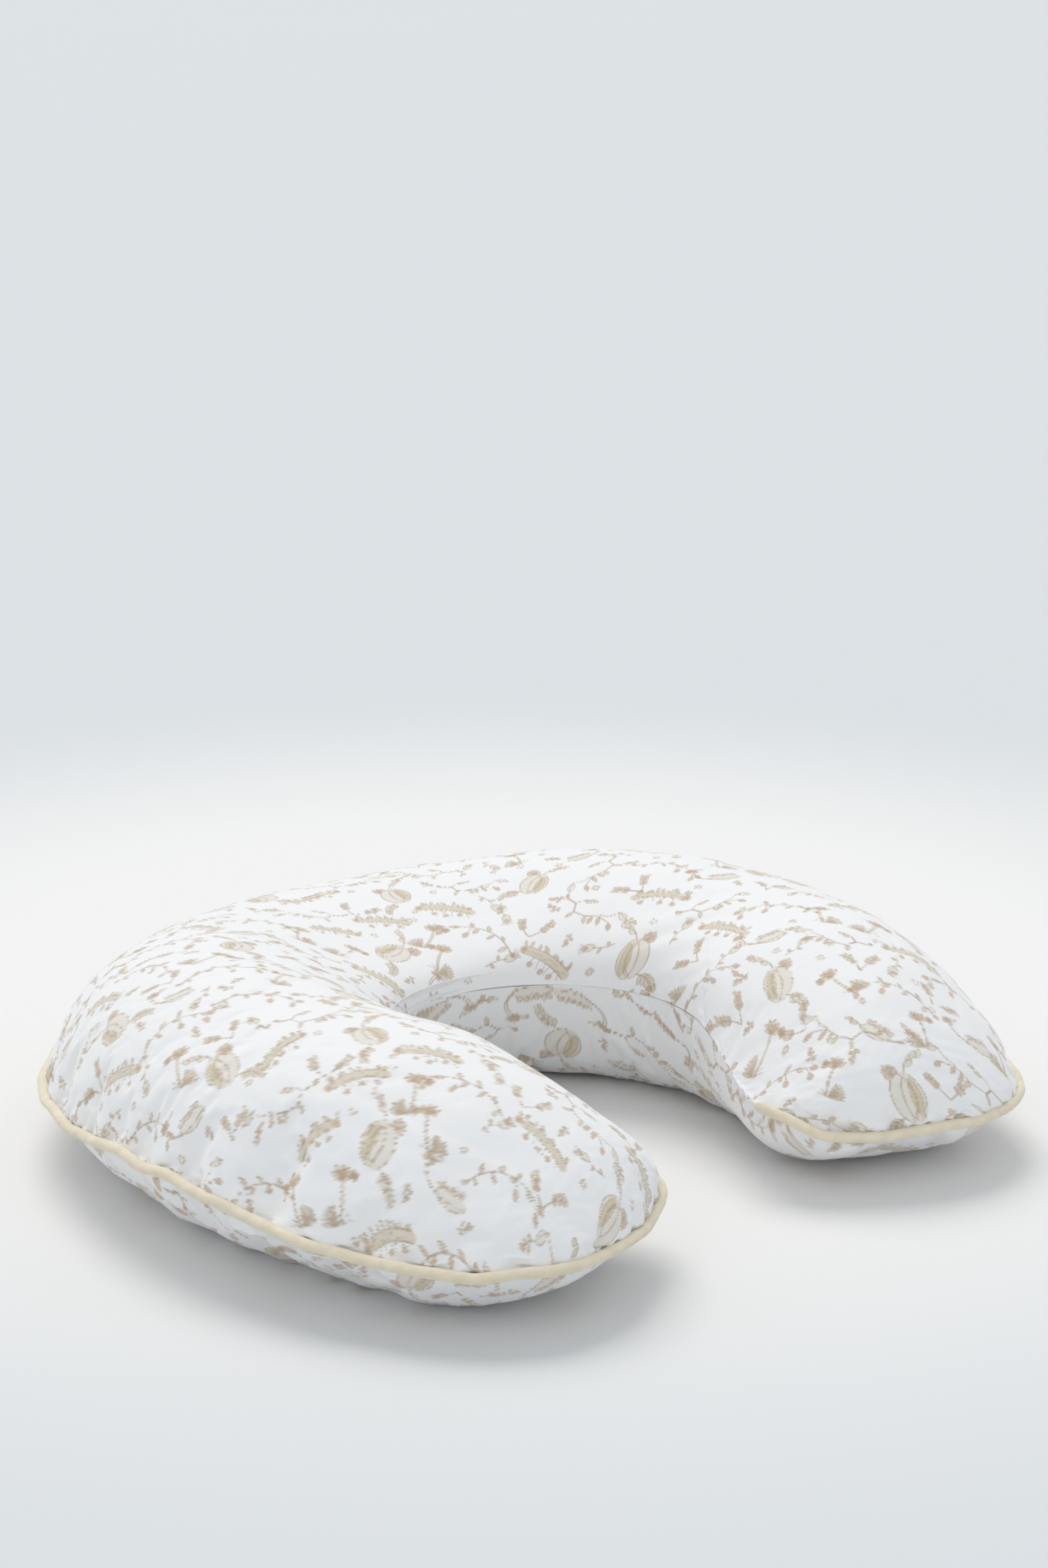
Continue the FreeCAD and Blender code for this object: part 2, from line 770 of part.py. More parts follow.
def zip_pull_tab():
    """Flat tab that lies along the closed zip, with a knuckle on the bridge's pin."""
    body = doc.addObject("PartDesign::Body", "zip_pull_tab")
    body.Label = "zip_pull_tab"
    low = size("inner_seam_height") - size("pull_tab_width") / 2
    half = size("pull_tab_thickness") / 2
    pivot = size("bridge_radius")
    length = size("pull_tab_length")
    plate = new_sketch(body, "tab_plate", "XY_Plane")
    plate.AttachmentOffset = FreeCAD.Placement(V(0, 0, low), FreeCAD.Rotation())
    rectangle(plate, (pivot - half, -length), (pivot + half, -half))
    plate_pad = body.newObject("PartDesign::Pad", "tab_plate_pad")
    plate_pad.Profile = plate
    plate_pad.setExpression("Length", "dimensions.pull_tab_width")
    knuckle = new_sketch(body, "tab_knuckle", "XY_Plane")
    knuckle.AttachmentOffset = FreeCAD.Placement(V(0, 0, low), FreeCAD.Rotation())
    knuckle.addGeometry(Part.Circle(V(pivot, 0, 0), V(0, 0, 1), size("pull_tab_knuckle_radius")))
    knuckle_pad = body.newObject("PartDesign::Pad", "tab_knuckle_pad")
    knuckle_pad.Profile = knuckle
    knuckle_pad.setExpression("Length", "dimensions.pull_tab_width")
    bore = new_sketch(body, "tab_bore", "XY_Plane")
    bore.AttachmentOffset = FreeCAD.Placement(V(0, 0, low), FreeCAD.Rotation())
    bore.addGeometry(Part.Circle(V(pivot, 0, 0), V(0, 0, 1), size("pull_tab_bore_radius")))
    bore_cut = body.newObject("PartDesign::Pocket", "tab_bore_cut")
    bore_cut.Profile = bore
    bore_cut.Reversed = True
    bore_cut.setExpression("Length", "dimensions.pull_tab_width")
    body.Tip = bore_cut
    body.Placement = turned_about(CURL, slider_place())
    return body


def woven_label():
    """Blank folded label that hangs from the outer seam, below the piping, on the left arm."""
    centre, radius, first, _ = ARCS[1]
    inner = radius + 0.5
    turn = math.radians(size("woven_label_place")) - first
    high = seam_height(ARC_LENGTHS[0] + radius * turn) - size("woven_label_clearance")
    low = high - size("woven_label_drop")
    outline = box_outline(inner, size("woven_label_thickness"), low, high)
    spread = "dimensions.woven_label_length / dimensions.arm_radius * 180 / pi"
    middle = mirrored(centre) + CURL
    return turned_piece("woven_label", outline, spread, middle, -size("woven_label_place"))


def care_label():
    """Blank care label sewn inside the cover beside the zip, leaning back under the top panel."""
    low = size("inner_seam_height") + 3
    high = low + size("care_label_drop")
    foot = size("waist_radius") + 3.0
    head = foot + 7.5
    thick = size("care_label_thickness")
    outline = [(foot, low), (foot + thick, low), (head + thick, high), (head, high)]
    spread = "dimensions.care_label_length / dimensions.waist_radius * 180 / pi"
    return turned_piece("care_label", outline, spread, place=size("care_label_angle"))


# ---------------------------------------------------------------- build, check, write


def build():
    """All sub-parts, in the order in which they would come off."""
    parts = piping() + [cover_top(), cover_bottom(), woven_label(), care_label()]
    parts += zip_side("upper", 1) + zip_side("lower", -1) + zip_stops()
    parts += [zip_slider(), zip_pull_tab()]
    parts += [liner_top(), liner_bottom(), fibre_filling()] + seam_threads()
    doc.recompute()
    return parts


def check(parts):
    """Stop on anything that failed to build."""
    for item in doc.Objects:
        if {"Invalid", "Error"} & set(item.State):
            raise RuntimeError(f"{item.Name} failed: {item.State}")
    for item in parts:
        if item.Shape.isNull() or not item.Shape.isValid():
            raise RuntimeError(f"{item.Label} has no valid shape")


def write(parts):
    """One STEP file for each sub-part."""
    os.makedirs("parts", exist_ok=True)
    for item in parts:
        item.Shape.exportStep(f"parts/{item.Label}.step")
        box = item.Shape.BoundBox
        print(f"{item.Label}: {item.Shape.Volume:.0f} mm3, z {box.ZMin:.1f} to {box.ZMax:.1f}")


PARTS = build()
check(PARTS)
write(PARTS)
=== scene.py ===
import math

import bpy
import numpy as np
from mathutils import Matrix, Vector


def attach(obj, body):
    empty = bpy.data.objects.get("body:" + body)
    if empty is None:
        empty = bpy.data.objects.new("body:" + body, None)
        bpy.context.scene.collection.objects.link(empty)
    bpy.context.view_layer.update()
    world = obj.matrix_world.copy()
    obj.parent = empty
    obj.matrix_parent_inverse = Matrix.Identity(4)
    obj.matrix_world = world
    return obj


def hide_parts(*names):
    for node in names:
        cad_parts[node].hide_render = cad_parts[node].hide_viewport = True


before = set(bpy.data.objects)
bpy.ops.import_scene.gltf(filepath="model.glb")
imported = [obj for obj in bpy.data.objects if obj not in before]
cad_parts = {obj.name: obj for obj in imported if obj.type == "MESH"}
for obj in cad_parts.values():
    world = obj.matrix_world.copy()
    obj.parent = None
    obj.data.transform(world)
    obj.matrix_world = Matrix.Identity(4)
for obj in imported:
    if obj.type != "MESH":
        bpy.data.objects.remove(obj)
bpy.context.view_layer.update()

# A C-shaped nursing pillow in a printed, piped cotton cover. Metres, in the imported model's frame:
# +Z up, the mouth of the C faces -Y, and X = 0 is its plane of symmetry. Turned angles are
# measured in plan from +Y, clockwise. Grids of points run from the left horn to the right one,
# and across from the inner seam to the outer one.

MM = 0.001

# ---- camera, light and floor

CAMERA_AZIMUTH = -42.6
CAMERA_ELEVATION = 14.7
CAMERA_DISTANCE = 2.107
CAMERA_AIM = Vector((0.0343, -0.0024, 0.2223))
CAMERA_LENS = 76.94
CLIP_END = 100.0


def add_camera():
    """Camera at the photograph's viewing angle."""
    turn = math.radians(CAMERA_AZIMUTH)
    lift = math.radians(CAMERA_ELEVATION)
    level = math.cos(lift)
    back = Vector((math.sin(turn) * level, -math.cos(turn) * level, math.sin(lift)))
    data = bpy.data.cameras.new("camera")
    data.lens = CAMERA_LENS
    data.clip_end = CLIP_END
    camera = bpy.data.objects.new("camera", data)
    camera.location = CAMERA_AIM + back * CAMERA_DISTANCE
    camera.rotation_euler = (-back).to_track_quat("-Z", "Y").to_euler()
    bpy.context.scene.collection.objects.link(camera)
    bpy.context.scene.camera = camera


# Each sun's place, strength, softness in degrees and colour.
SUNS = {
    "key": ((0.35, 0.8, 1.5), 1.35, 38, (1.0, 0.955, 0.90)),
    "fill": ((-1.6, -1.2, 0.9), 0.30, 60, (1.0, 0.97, 0.93)),
}
SURROUNDINGS = (0.66, 0.69, 0.715)
# The near floor colour is a painted pool of warm light round the pillow. It fades over the glow radii
# about the glow centre to the far colour, which is the floor's own.
FLOOR_PAINTED_LIGHT = (0.83, 0.825, 0.82)
FLOOR_FAR = (0.655, 0.685, 0.71)
FLOOR_REACH = 60.0
GLOW_CENTRE = (0.20, 0.22, 0.0)
GLOW_RADII = (0.38, 0.95)


def add_sun(name, place, strength, softness, colour):
    """Soft light that comes from a place towards the origin, with its softness in degrees."""
    data = bpy.data.lights.new(name, "SUN")
    data.energy = strength
    data.angle = math.radians(softness)
    data.color = colour
    light = bpy.data.objects.new(name, data)
    light.rotation_euler = Vector(place).to_track_quat("Z", "Y").to_euler()
    bpy.context.scene.collection.objects.link(light)


def add_lights():
    """Soft key from above and behind, a weak fill from the front, and pale surroundings."""
    for name, settings in SUNS.items():
        add_sun(name, *settings)
    world = bpy.data.worlds.new("studio")
    world.use_nodes = True
    background = world.node_tree.nodes["Background"]
    background.inputs["Color"].default_value = (*SURROUNDINGS, 1)
    bpy.context.scene.world = world
    bpy.context.scene.view_settings.view_transform = "Standard"


def add_floor():
    """Pale floor with a painted pool of warm light round the pillow, fading to the floor's own
    blue-grey further away.
    """
    signs = ((-1, -1), (1, -1), (1, 1), (-1, 1))
    mesh = bpy.data.meshes.new("floor")
    mesh.from_pydata([(x * FLOOR_REACH, y * FLOOR_REACH, 0) for x, y in signs], [], [(0, 1, 2, 3)])
    floor = bpy.data.objects.new("floor", mesh)
    bpy.context.scene.collection.objects.link(floor)
    paint = Shader("floor", roughness=0.9)
    away = paint.add("ShaderNodeVectorMath", operation="DISTANCE")
    paint.join(paint.add("ShaderNodeNewGeometry").outputs["Position"], away.inputs[0])
    away.inputs[1].default_value = GLOW_CENTRE
    # Painted light: the floor's colour is brighter and warmer near the pillow.
    paint.base(paint.mix(paint.ramp(away.outputs["Value"], *GLOW_RADII), FLOOR_PAINTED_LIGHT, FLOOR_FAR))
    mesh.materials.append(paint.material)


# ---- materials


class Shader:
    """A node material with one Principled surface, and short names for the nodes used here."""

    def __init__(self, name, roughness, **uniform):
        self.material = bpy.data.materials.new(name)
        self.material.use_nodes = True
        self.nodes = self.material.node_tree.nodes
        self.surface = self.nodes["Principled BSDF"]
        self.surface.inputs["Roughness"].default_value = roughness
        for socket, value in uniform.items():
            self.surface.inputs[socket.replace("_", " ")].default_value = value

    def add(self, kind, **settings):
        """A new node with its settings."""
        node = self.nodes.new(kind)
        for setting, value in settings.items():
            setattr(node, setting, value)
        return node

    def join(self, output, socket):
        """Links an output to an input."""
        self.material.node_tree.links.new(output, socket)

    def math(self, operation, a, b=0.0, c=0.0):
        """A maths node: each term is a number or an output."""
        node = self.add("ShaderNodeMath", operation=operation)
        for socket, term in zip(node.inputs, (a, b, c)):
            if isinstance(term, (int, float)):
                socket.default_value = term
            else:
                self.join(term, socket)
        return node.outputs[0]

    def ramp(self, value, low, high):
        """0 below low, 1 above high, with a smooth step between."""
        node = self.add("ShaderNodeMapRange", interpolation_type="SMOOTHSTEP")
        self.join(value, node.inputs["Value"])
        node.inputs["From Min"].default_value = low
        node.inputs["From Max"].default_value = high
        return node.outputs["Result"]

    def mix(self, factor, a, b):
        """Mix of two colours, each a triple or an output."""
        node = self.add("ShaderNodeMix", data_type="RGBA")
        self.join(factor, node.inputs["Factor"])
        for socket, term in ((node.inputs[6], a), (node.inputs[7], b)):
            if isinstance(term, tuple):
                socket.default_value = (*term, 1)
            else:
                self.join(term, socket)
        return node.outputs[2]

    def noise(self, size, detail=3.0):
        """Noise whose features are about that many metres across, from 0 to 1."""
        node = self.add("ShaderNodeTexNoise")
        node.inputs["Scale"].default_value = 1 / size
        node.inputs["Detail"].default_value = detail
        self.join(self.place(), node.inputs["Vector"])
        return node.outputs["Fac"]

    def place(self):
        """The point's place on the object, which moves with it."""
        return self.add("ShaderNodeTexCoord").outputs["Object"]

    def stored(self, name, output="Color"):
        """A value kept in the mesh."""
        return self.add("ShaderNodeAttribute", attribute_name=name).outputs[output]

    def parts_of(self, vector):
        """The three numbers of a vector."""
        node = self.add("ShaderNodeSeparateXYZ")
        self.join(vector, node.inputs[0])
        return node.outputs

    def base(self, colour):
        """Sets the surface's colour."""
        self.join(colour, self.surface.inputs["Base Color"])

    def rough(self, value):
        """Sets the surface's roughness."""
        self.join(value, self.surface.inputs["Roughness"])

    def bump(self, height, depth, strength):
        """Adds relief of that depth in metres under what is there already."""
        node = self.add("ShaderNodeBump")
        node.inputs["Distance"].default_value = depth
        node.inputs["Strength"].default_value = strength
        self.join(height, node.inputs["Height"])
        normal = self.surface.inputs["Normal"]
        if normal.is_linked:
            self.join(normal.links[0].from_socket, node.inputs["Normal"])
        self.join(node.outputs["Normal"], normal)

    def mottle(self, size, detail, light, dark, rough_span, rough_low, limits=None):
        """Varies the colour and the roughness with one noise, and gives that noise."""
        tone = self.noise(size, detail)
        self.base(self.mix(self.ramp(tone, *limits) if limits else tone, light, dark))
        self.rough(self.math("MULTIPLY_ADD", tone, rough_span, rough_low))
        return tone

    def weave(self, across, down, pitch):
        """Plain weave from two flat coordinates: threads over and under each other, 0 to 1."""
        first = self.math("SINE", self.math("MULTIPLY", across, math.pi / pitch))
        second = self.math("SINE", self.math("MULTIPLY", down, math.pi / pitch))
        crossing = self.math("MULTIPLY", first, second)
        return self.math("MULTIPLY_ADD", crossing, 0.5, 0.5)


FABRIC_WHITE = (0.86, 0.862, 0.868)
OUTLINE = (0.43, 0.31, 0.20)
OLIVE = (0.64, 0.56, 0.40)
ROSE = (0.60, 0.43, 0.30)
CREAM = (0.82, 0.735, 0.57)
COTTON_PITCH = 0.45 * MM
BIAS_PITCH = 0.6 * MM
RIB_PITCH = 0.3 * MM
TWIST_PITCH = 0.6 * MM
WEAVE_RADIUS = 0.1
TONE_LIMITS = (0.3, 0.7)
WORN_LIMITS = (0.55, 0.75)


def print_cotton():
    """White printed cotton. The cloth holds its print as ink coverage, and its flat coordinates."""
    paint = Shader("print_cotton", roughness=0.85, Sheen_Weight=0.25, Sheen_Roughness=0.45)
    ink = paint.add("ShaderNodeSeparateColor")
    paint.join(paint.stored("ink"), ink.inputs[0])
    outline, olive, rose = ink.outputs
    faded = paint.math("MULTIPLY_ADD", paint.noise(2 * MM), 0.35, 0.78)
    colour = paint.mix(paint.math("MULTIPLY", olive, faded), FABRIC_WHITE, OLIVE)
    colour = paint.mix(paint.math("MULTIPLY", rose, faded), colour, ROSE)
    colour = paint.mix(paint.math("MULTIPLY", outline, faded), colour, OUTLINE)
    paint.base(colour)
    flat = paint.parts_of(paint.stored("flat", "Vector"))
    paint.rough(paint.math("MULTIPLY_ADD", paint.noise(1.2 * MM, 2), 0.16, 0.76))
    paint.bump(paint.noise(7 * MM, 4), 0.5 * MM, 0.5)
    paint.bump(paint.weave(flat[0], flat[1], COTTON_PITCH), 0.06 * MM, 0.6)
    return paint.material


def bias_cotton():
    """Cream cotton cut on the bias: the weave runs slantwise along the piping."""
    paint = Shader("piping_cotton", roughness=0.8, Sheen_Weight=0.2, Sheen_Roughness=0.5)
    paint.mottle(9 * MM, 3, CREAM, tuple(0.9 * c for c in CREAM), 0.15, 0.72, TONE_LIMITS)
    flat = paint.parts_of(paint.stored("flat", "Vector"))
    slant = paint.math("ADD", flat[0], flat[1])
    other = paint.math("SUBTRACT", flat[0], flat[1])
    paint.bump(paint.noise(3 * MM, 3), 0.35 * MM, 0.5)
    paint.bump(paint.weave(slant, other, BIAS_PITCH), 0.08 * MM, 0.7)
    return paint.material


def plain_cloth(name, colour, pitch):
    """Woven cloth of one colour, with its weave taken from its place."""
    paint = Shader(name, roughness=0.85, Sheen_Weight=0.15)
    paint.mottle(12 * MM, 4, colour, tuple(0.92 * c for c in colour), 0.12, 0.78, TONE_LIMITS)
    place = paint.parts_of(paint.place())
    around = paint.math("ARCTAN2", place[0], place[1])
    threads = paint.weave(paint.math("MULTIPLY", around, WEAVE_RADIUS), place[2], pitch)
    paint.bump(threads, 0.08 * MM, 0.7)
    return paint.material


def satin():
    """White woven label: fine ribs with a soft shine, and no lettering."""
    paint = Shader("label_satin", roughness=0.45, Sheen_Weight=0.2)
    flat = paint.parts_of(paint.stored("flat", "Vector"))
    ribs = paint.math("SINE", paint.math("MULTIPLY", flat[1], math.pi / RIB_PITCH))
    paint.mottle(4 * MM, 3, (0.90, 0.91, 0.92), (0.84, 0.855, 0.87), 0.15, 0.38)
    paint.bump(ribs, 0.05 * MM, 0.6)
    return paint.material


def nylon():
    """Moulded white nylon of the zip's teeth."""
    paint = Shader("zip_nylon", roughness=0.35, Specular_IOR_Level=0.45)
    tone = paint.mottle(2 * MM, 2, (0.86, 0.87, 0.88), (0.80, 0.81, 0.82), 0.2, 0.28)
    paint.bump(tone, 0.05 * MM, 0.4)
    return paint.material


def enamel():
    """White-painted die-cast metal of the slider and its tab, a little worn in small patches scattered
    by noise.
    """
    paint = Shader("zip_metal", roughness=0.3, Coat_Weight=0.3)
    paint.mottle(1.5 * MM, 4, (0.86, 0.865, 0.87), (0.78, 0.77, 0.75), 0.25, 0.2, WORN_LIMITS)
    paint.bump(paint.noise(0.8 * MM, 2), 0.03 * MM, 0.4)
    return paint.material


def thread():
    """Twisted sewing thread."""
    paint = Shader("sewing_thread", roughness=0.6, Sheen_Weight=0.3)
    place = paint.parts_of(paint.place())
    total = paint.math("ADD", paint.math("ADD", place[0], place[1]), place[2])
    twist = paint.math("SINE", paint.math("MULTIPLY", total, 2 * math.pi / TWIST_PITCH))
    paint.base(paint.mix(paint.noise(2 * MM), (0.88, 0.87, 0.84), (0.80, 0.79, 0.75)))
    paint.bump(twist, 0.08 * MM, 0.6)
    paint.rough(paint.math("MULTIPLY_ADD", twist, 0.08, 0.55))
    return paint.material


# ---- the two seams in plan

# The outer seam's right half: tangent arcs as radius and spread in degrees, from the middle of
# the back. A last small arc turns it towards the inner corner.
OUTER_ARCS = ((0.274, 69), (0.438, 31), (0.240, 26), (0.088, 79), (0.300, 12))
HORN_ARC = 3
CORNER_ARC_RADIUS = 0.025
WAIST_RADIUS = 0.097
CURL_TO_BACK = 0.335
CURL_TO_CORNER = (0.052, -0.1273)
OUTER_SEAM_HEIGHT = 0.042
INNER_SEAM_HEIGHT = 0.080
CREST_HEIGHT = 0.017
CREST_START = 0.250
CREST_END = 0.690
CORNER_HEIGHT = 0.055
CORNER_RISE_LENGTH = 0.060
LINE_STEP = 0.5 * MM


def turned(angle):
    """Outward unit vector in plan, with a zero height, at a turned angle."""
    angle = np.asarray(angle, float)
    return np.stack([np.sin(angle), np.cos(angle), np.zeros_like(angle)], -1)


def arc_line(centre, radius, first, last):
    """Points along an arc in plan."""
    count = math.ceil(abs(last - first) * radius / LINE_STEP) + 1
    return centre + radius * turned(np.linspace(first, last, count))


def straight_line(start, end):
    """Points along a straight stretch."""
    count = math.ceil(np.linalg.norm(end - start) / LINE_STEP) + 1
    return start + (end - start) * np.linspace(0, 1, count)[:, None]


def lengths_of(line):
    """Distance along a line at each of its points."""
    steps = np.linalg.norm(np.diff(line, axis=0), axis=1)
    return np.concatenate([[0], np.cumsum(steps)])


def ease(share):
    """Smooth step from 0 to 1."""
    share = np.clip(share, 0, 1)
    return share * share * (3 - 2 * share)


def plan_lines():
    """The right half's outer seam, horn end and inner seam as lines of points at their heights.

    The outer line runs from the back to the middle of the horn's round front, and the end line
    from the inner corner to that same place. The inner line runs from the back to the corner.
    """
    corner = np.array([*CURL_TO_CORNER, 0])
    line = []
    angle = 0.0
    point = np.array([0, CURL_TO_BACK, 0])
    for radius, spread in OUTER_ARCS:
        centre = point - turned(angle) * radius
        last = angle + math.radians(spread)
        line.append(arc_line(centre, radius, angle, last))
        point = line[-1][-1]
        angle = last
    front = min(part[:, 1].min() for part in line)
    centre = point - turned(angle) * CORNER_ARC_RADIUS
    to_corner = corner - centre
    facing = math.atan2(to_corner[0], to_corner[1]) % (2 * math.pi)
    last = facing - math.acos(CORNER_ARC_RADIUS / np.linalg.norm(to_corner))
    line.append(arc_line(centre, CORNER_ARC_RADIUS, angle, last))
    line.append(straight_line(line[-1][-1], corner))
    whole = np.concatenate(line)
    distance = lengths_of(whole)
    crest = np.clip((distance - CREST_START) / (CREST_END - CREST_START), 0, 1)
    rise = np.maximum(1 - (distance[-1] - distance) / CORNER_RISE_LENGTH, 0) ** 2
    whole[:, 2] = OUTER_SEAM_HEIGHT + CREST_HEIGHT * np.sin(math.pi * crest) ** 2
    whole[:, 2] += (CORNER_HEIGHT - OUTER_SEAM_HEIGHT) * rise
    half = sum(len(part) for part in line[:HORN_ARC]) + len(line[HORN_ARC]) // 2
    outer = whole[: half + 1]
    end = whole[half:][::-1]
    reach = np.linalg.norm(corner)
    last = math.atan2(corner[0], corner[1]) - math.acos(WAIST_RADIUS / reach)
    arc = arc_line(np.zeros(3), WAIST_RADIUS, 0, last)
    arc[:, 2] = INNER_SEAM_HEIGHT
    straight = straight_line(arc[-1] * (1, 1, 0), corner)
    falling = lengths_of(straight)
    fall = (CORNER_HEIGHT - INNER_SEAM_HEIGHT) * ease(falling / falling[-1])
    straight[:, 2] = INNER_SEAM_HEIGHT + fall
    waist = np.concatenate([arc, straight[1:]])
    curl = np.array([0, -(CURL_TO_BACK + front) / 2, 0])
    return outer + curl, end + curl, waist + curl, curl


OUTER_LINE, END_LINE, WAIST_LINE, CURL = plan_lines()
MIDDLE_LENGTH = (lengths_of(OUTER_LINE)[-1] + lengths_of(WAIST_LINE)[-1]) / 2


def along_distance(line, distances):
    """Points on a line at distances from its start."""
    lengths = lengths_of(line)
    return np.stack([np.interp(distances, lengths, line[:, k]) for k in range(3)], -1)


def along(line, shares):
    """Points at shares of a line's length."""
    return along_distance(line, shares * lengths_of(line)[-1])


# ---- the stuffed shape

BACK_HEIGHT = 0.121
ARM_HEIGHT = 0.144
HORN_HEIGHT = 0.137
START_HEIGHT = 0.98  # share of the dome's height before the cloth is inflated
HORN_SLOPE_LENGTH = 0.160
HORN_TOE_LENGTH = 0.078
FLOOR_HALF_SHARE = 0.41
CROWN_POWERS = (0.43, 0.83)
CROWN_CORNER_POWER = 0.78
UNDERSIDE_POWER = 1.5
UNDERSIDE_POWERS = (0.5, 0.91)
STEPS_PLAIN = 104
STEPS_HORN = 46
STEPS_ACROSS = 60


def length_shares():
    """Shares of the right half's length, closer together where the horn's dome comes down."""
    bend = HORN_SLOPE_LENGTH / MIDDLE_LENGTH
    plain = np.linspace(0, 1 - bend, STEPS_PLAIN, endpoint=False)
    quarter = np.linspace(0, math.pi / 2, STEPS_HORN + 1)
    return np.concatenate([plain, 1 - bend * (1 - np.sin(quarter))])


def width_shares():
    """Shares of the width, closer together at the seams."""
    return (1 - np.cos(np.linspace(0, math.pi, STEPS_ACROSS + 1))) / 2


def seam_sheet(share, across):
    """The sheet that spans both seams in plan, at the seams' height."""
    waist = along(WAIST_LINE, share)
    outer = along(OUTER_LINE, share)
    end = along(END_LINE, across)
    chord = waist[:, None] * (1 - across[None, :, None]) + outer[:, None] * across[None, :, None]
    pull = (end - chord[-1])[None] * (share**4)[:, None, None]
    return chord + pull


def from_end(share, length):
    """0 at the horn's end, growing to 1 at a distance along the pillow."""
    return np.minimum((1 - share) * MIDDLE_LENGTH / length, 1)[:, None]


def dome_height(share):
    """Height of the middle of the top along the pillow."""
    back = BACK_HEIGHT + (ARM_HEIGHT - BACK_HEIGHT) * np.sin(math.pi * np.minimum(share, 0.5)) ** 2
    return back + (HORN_HEIGHT - ARM_HEIGHT) * np.maximum(2 * share - 1, 0)


def both_halves(right):
    """Right half's grid with its mirror image, from the left horn to the right."""
    left = right[:0:-1] * np.array([-1, 1, 1])
    return np.concatenate([left, right])


def stuffed_grids():
    """Upper and lower grids before the cloth is inflated. They share their borders."""
    share = length_shares()
    across = width_shares()
    sheet = seam_sheet(share, across)
    side = np.abs(2 * across - 1)[None]
    waist = CROWN_POWERS[0] + CROWN_CORNER_POWER * ease(3 * share - 2)[:, None]
    power = waist * (1 - across[None]) + CROWN_POWERS[1] * across[None]
    end = from_end(share, HORN_SLOPE_LENGTH)
    crown = (1 - side**2) ** power * np.sqrt(1 - (1 - end) ** 2)
    top = sheet.copy()
    top[..., 2] += (START_HEIGHT * dome_height(share)[:, None] - sheet[..., 2]) * crown
    lift = np.maximum(side - FLOOR_HALF_SHARE, 0) / (1 - FLOOR_HALF_SHARE)
    edge = np.minimum(np.hypot(lift, 1 - from_end(share, HORN_TOE_LENGTH)), 1)
    power = UNDERSIDE_POWERS[0] * (1 - across[None]) + UNDERSIDE_POWERS[1] * across[None]
    bottom = sheet.copy()
    bottom[..., 2] = sheet[..., 2] * (1 - (1 - edge**UNDERSIDE_POWER) ** power)
    return both_halves(top), both_halves(bottom)


RIPPLE_PEAK = 1.2


def ripple(points, wavelength, seed, waves=7):
    """Smooth seeded noise of about that wavelength, from -1 to 1, at points of any dimension."""
    rng = np.random.default_rng(seed)
    total = np.zeros(points.shape[:-1])
    for _ in range(waves):
        way = rng.normal(size=points.shape[-1])
        way /= np.linalg.norm(way)
        length = wavelength * rng.uniform(0.7, 1.5)
        total += np.sin(points @ way * (2 * math.pi / length) + rng.uniform(0, 2 * math.pi))
    return total / (RIPPLE_PEAK * math.sqrt(waves * 2))


SEAM_WAVE = 2.3 * MM
SEAM_WAVELENGTHS = (0.075, 0.034, 0.055)
SEAM_WAVE_REACH = 7


def seam_wave(points):
    """How the piped seam wanders where the cloth is gathered, as a shift of each of its points."""
    long_wave, short_wave, sideways = SEAM_WAVELENGTHS
    shift = np.zeros_like(points)
    shift[..., 2] = SEAM_WAVE * (ripple(points, long_wave, 3) + 0.5 * ripple(points, short_wave, 4))
    outward = points - CURL
    outward[..., 2] = 0
    outward /= np.linalg.norm(outward, axis=-1, keepdims=True)
    return shift + outward * (0.8 * SEAM_WAVE * ripple(points, sideways, 5))[..., None]


def border_fade(shape, reach):
    """1 on the piped borders of a grid, fading to 0 that many cells away."""
    rows, columns = (np.arange(count) for count in shape)
    near_end = np.minimum(rows, rows[::-1])[:, None]
    return np.exp(-((np.minimum(near_end, columns[::-1]) / reach) ** 2))


# ---- cloth simulation

SIM_FRAMES = 20
SIM_CAP = 11 * MM
RESTING_HEIGHT = 0.4 * MM
SLACK_STEPS = 10
SLACK_REACH = 14
CLOTH_SETTINGS = {
    "quality": 6,
    "mass": 0.12,
    "tension_stiffness": 20,
    "compression_stiffness": 12,
    "shear_stiffness": 4,
    "bending_stiffness": 0.6,
    "vertex_group_mass": "pins",
    "vertex_group_shrink": "slack",
    "shrink_min": -0.055,
    "shrink_max": -0.012,
    "use_pressure": True,
    "uniform_pressure_force": 4,
}


def numbered_faces(numbers):
    """Quads over a grid of vertex numbers, facing up on an upper panel."""
    quads = np.stack([numbers[:-1, :-1], numbers[1:, :-1], numbers[1:, 1:], numbers[:-1, 1:]], -1)
    return quads.reshape(-1, 4)


def new_mesh(name, points, quads):
    """Mesh from arrays of points and quads, smooth all over."""
    mesh = bpy.data.meshes.new(name)
    mesh.vertices.add(len(points))
    mesh.vertices.foreach_set("co", np.ascontiguousarray(points, np.float32).ravel())
    mesh.loops.add(quads.size)
    mesh.loops.foreach_set("vertex_index", np.ascontiguousarray(quads, np.int32).ravel())
    mesh.polygons.add(len(quads))
    mesh.polygons.foreach_set("loop_start", np.arange(0, quads.size, 4, dtype=np.int32))
    mesh.polygons.foreach_set("use_smooth", np.ones(len(quads), bool))
    mesh.update(calc_edges=True)
    mesh.validate()
    return mesh


def new_piece(name, points, quads, material):
    """A visible piece from arrays of points and quads."""
    piece = bpy.data.objects.new(name, new_mesh(name, points, quads))
    piece.data.materials.append(material)
    bpy.context.scene.collection.objects.link(piece)
    return piece


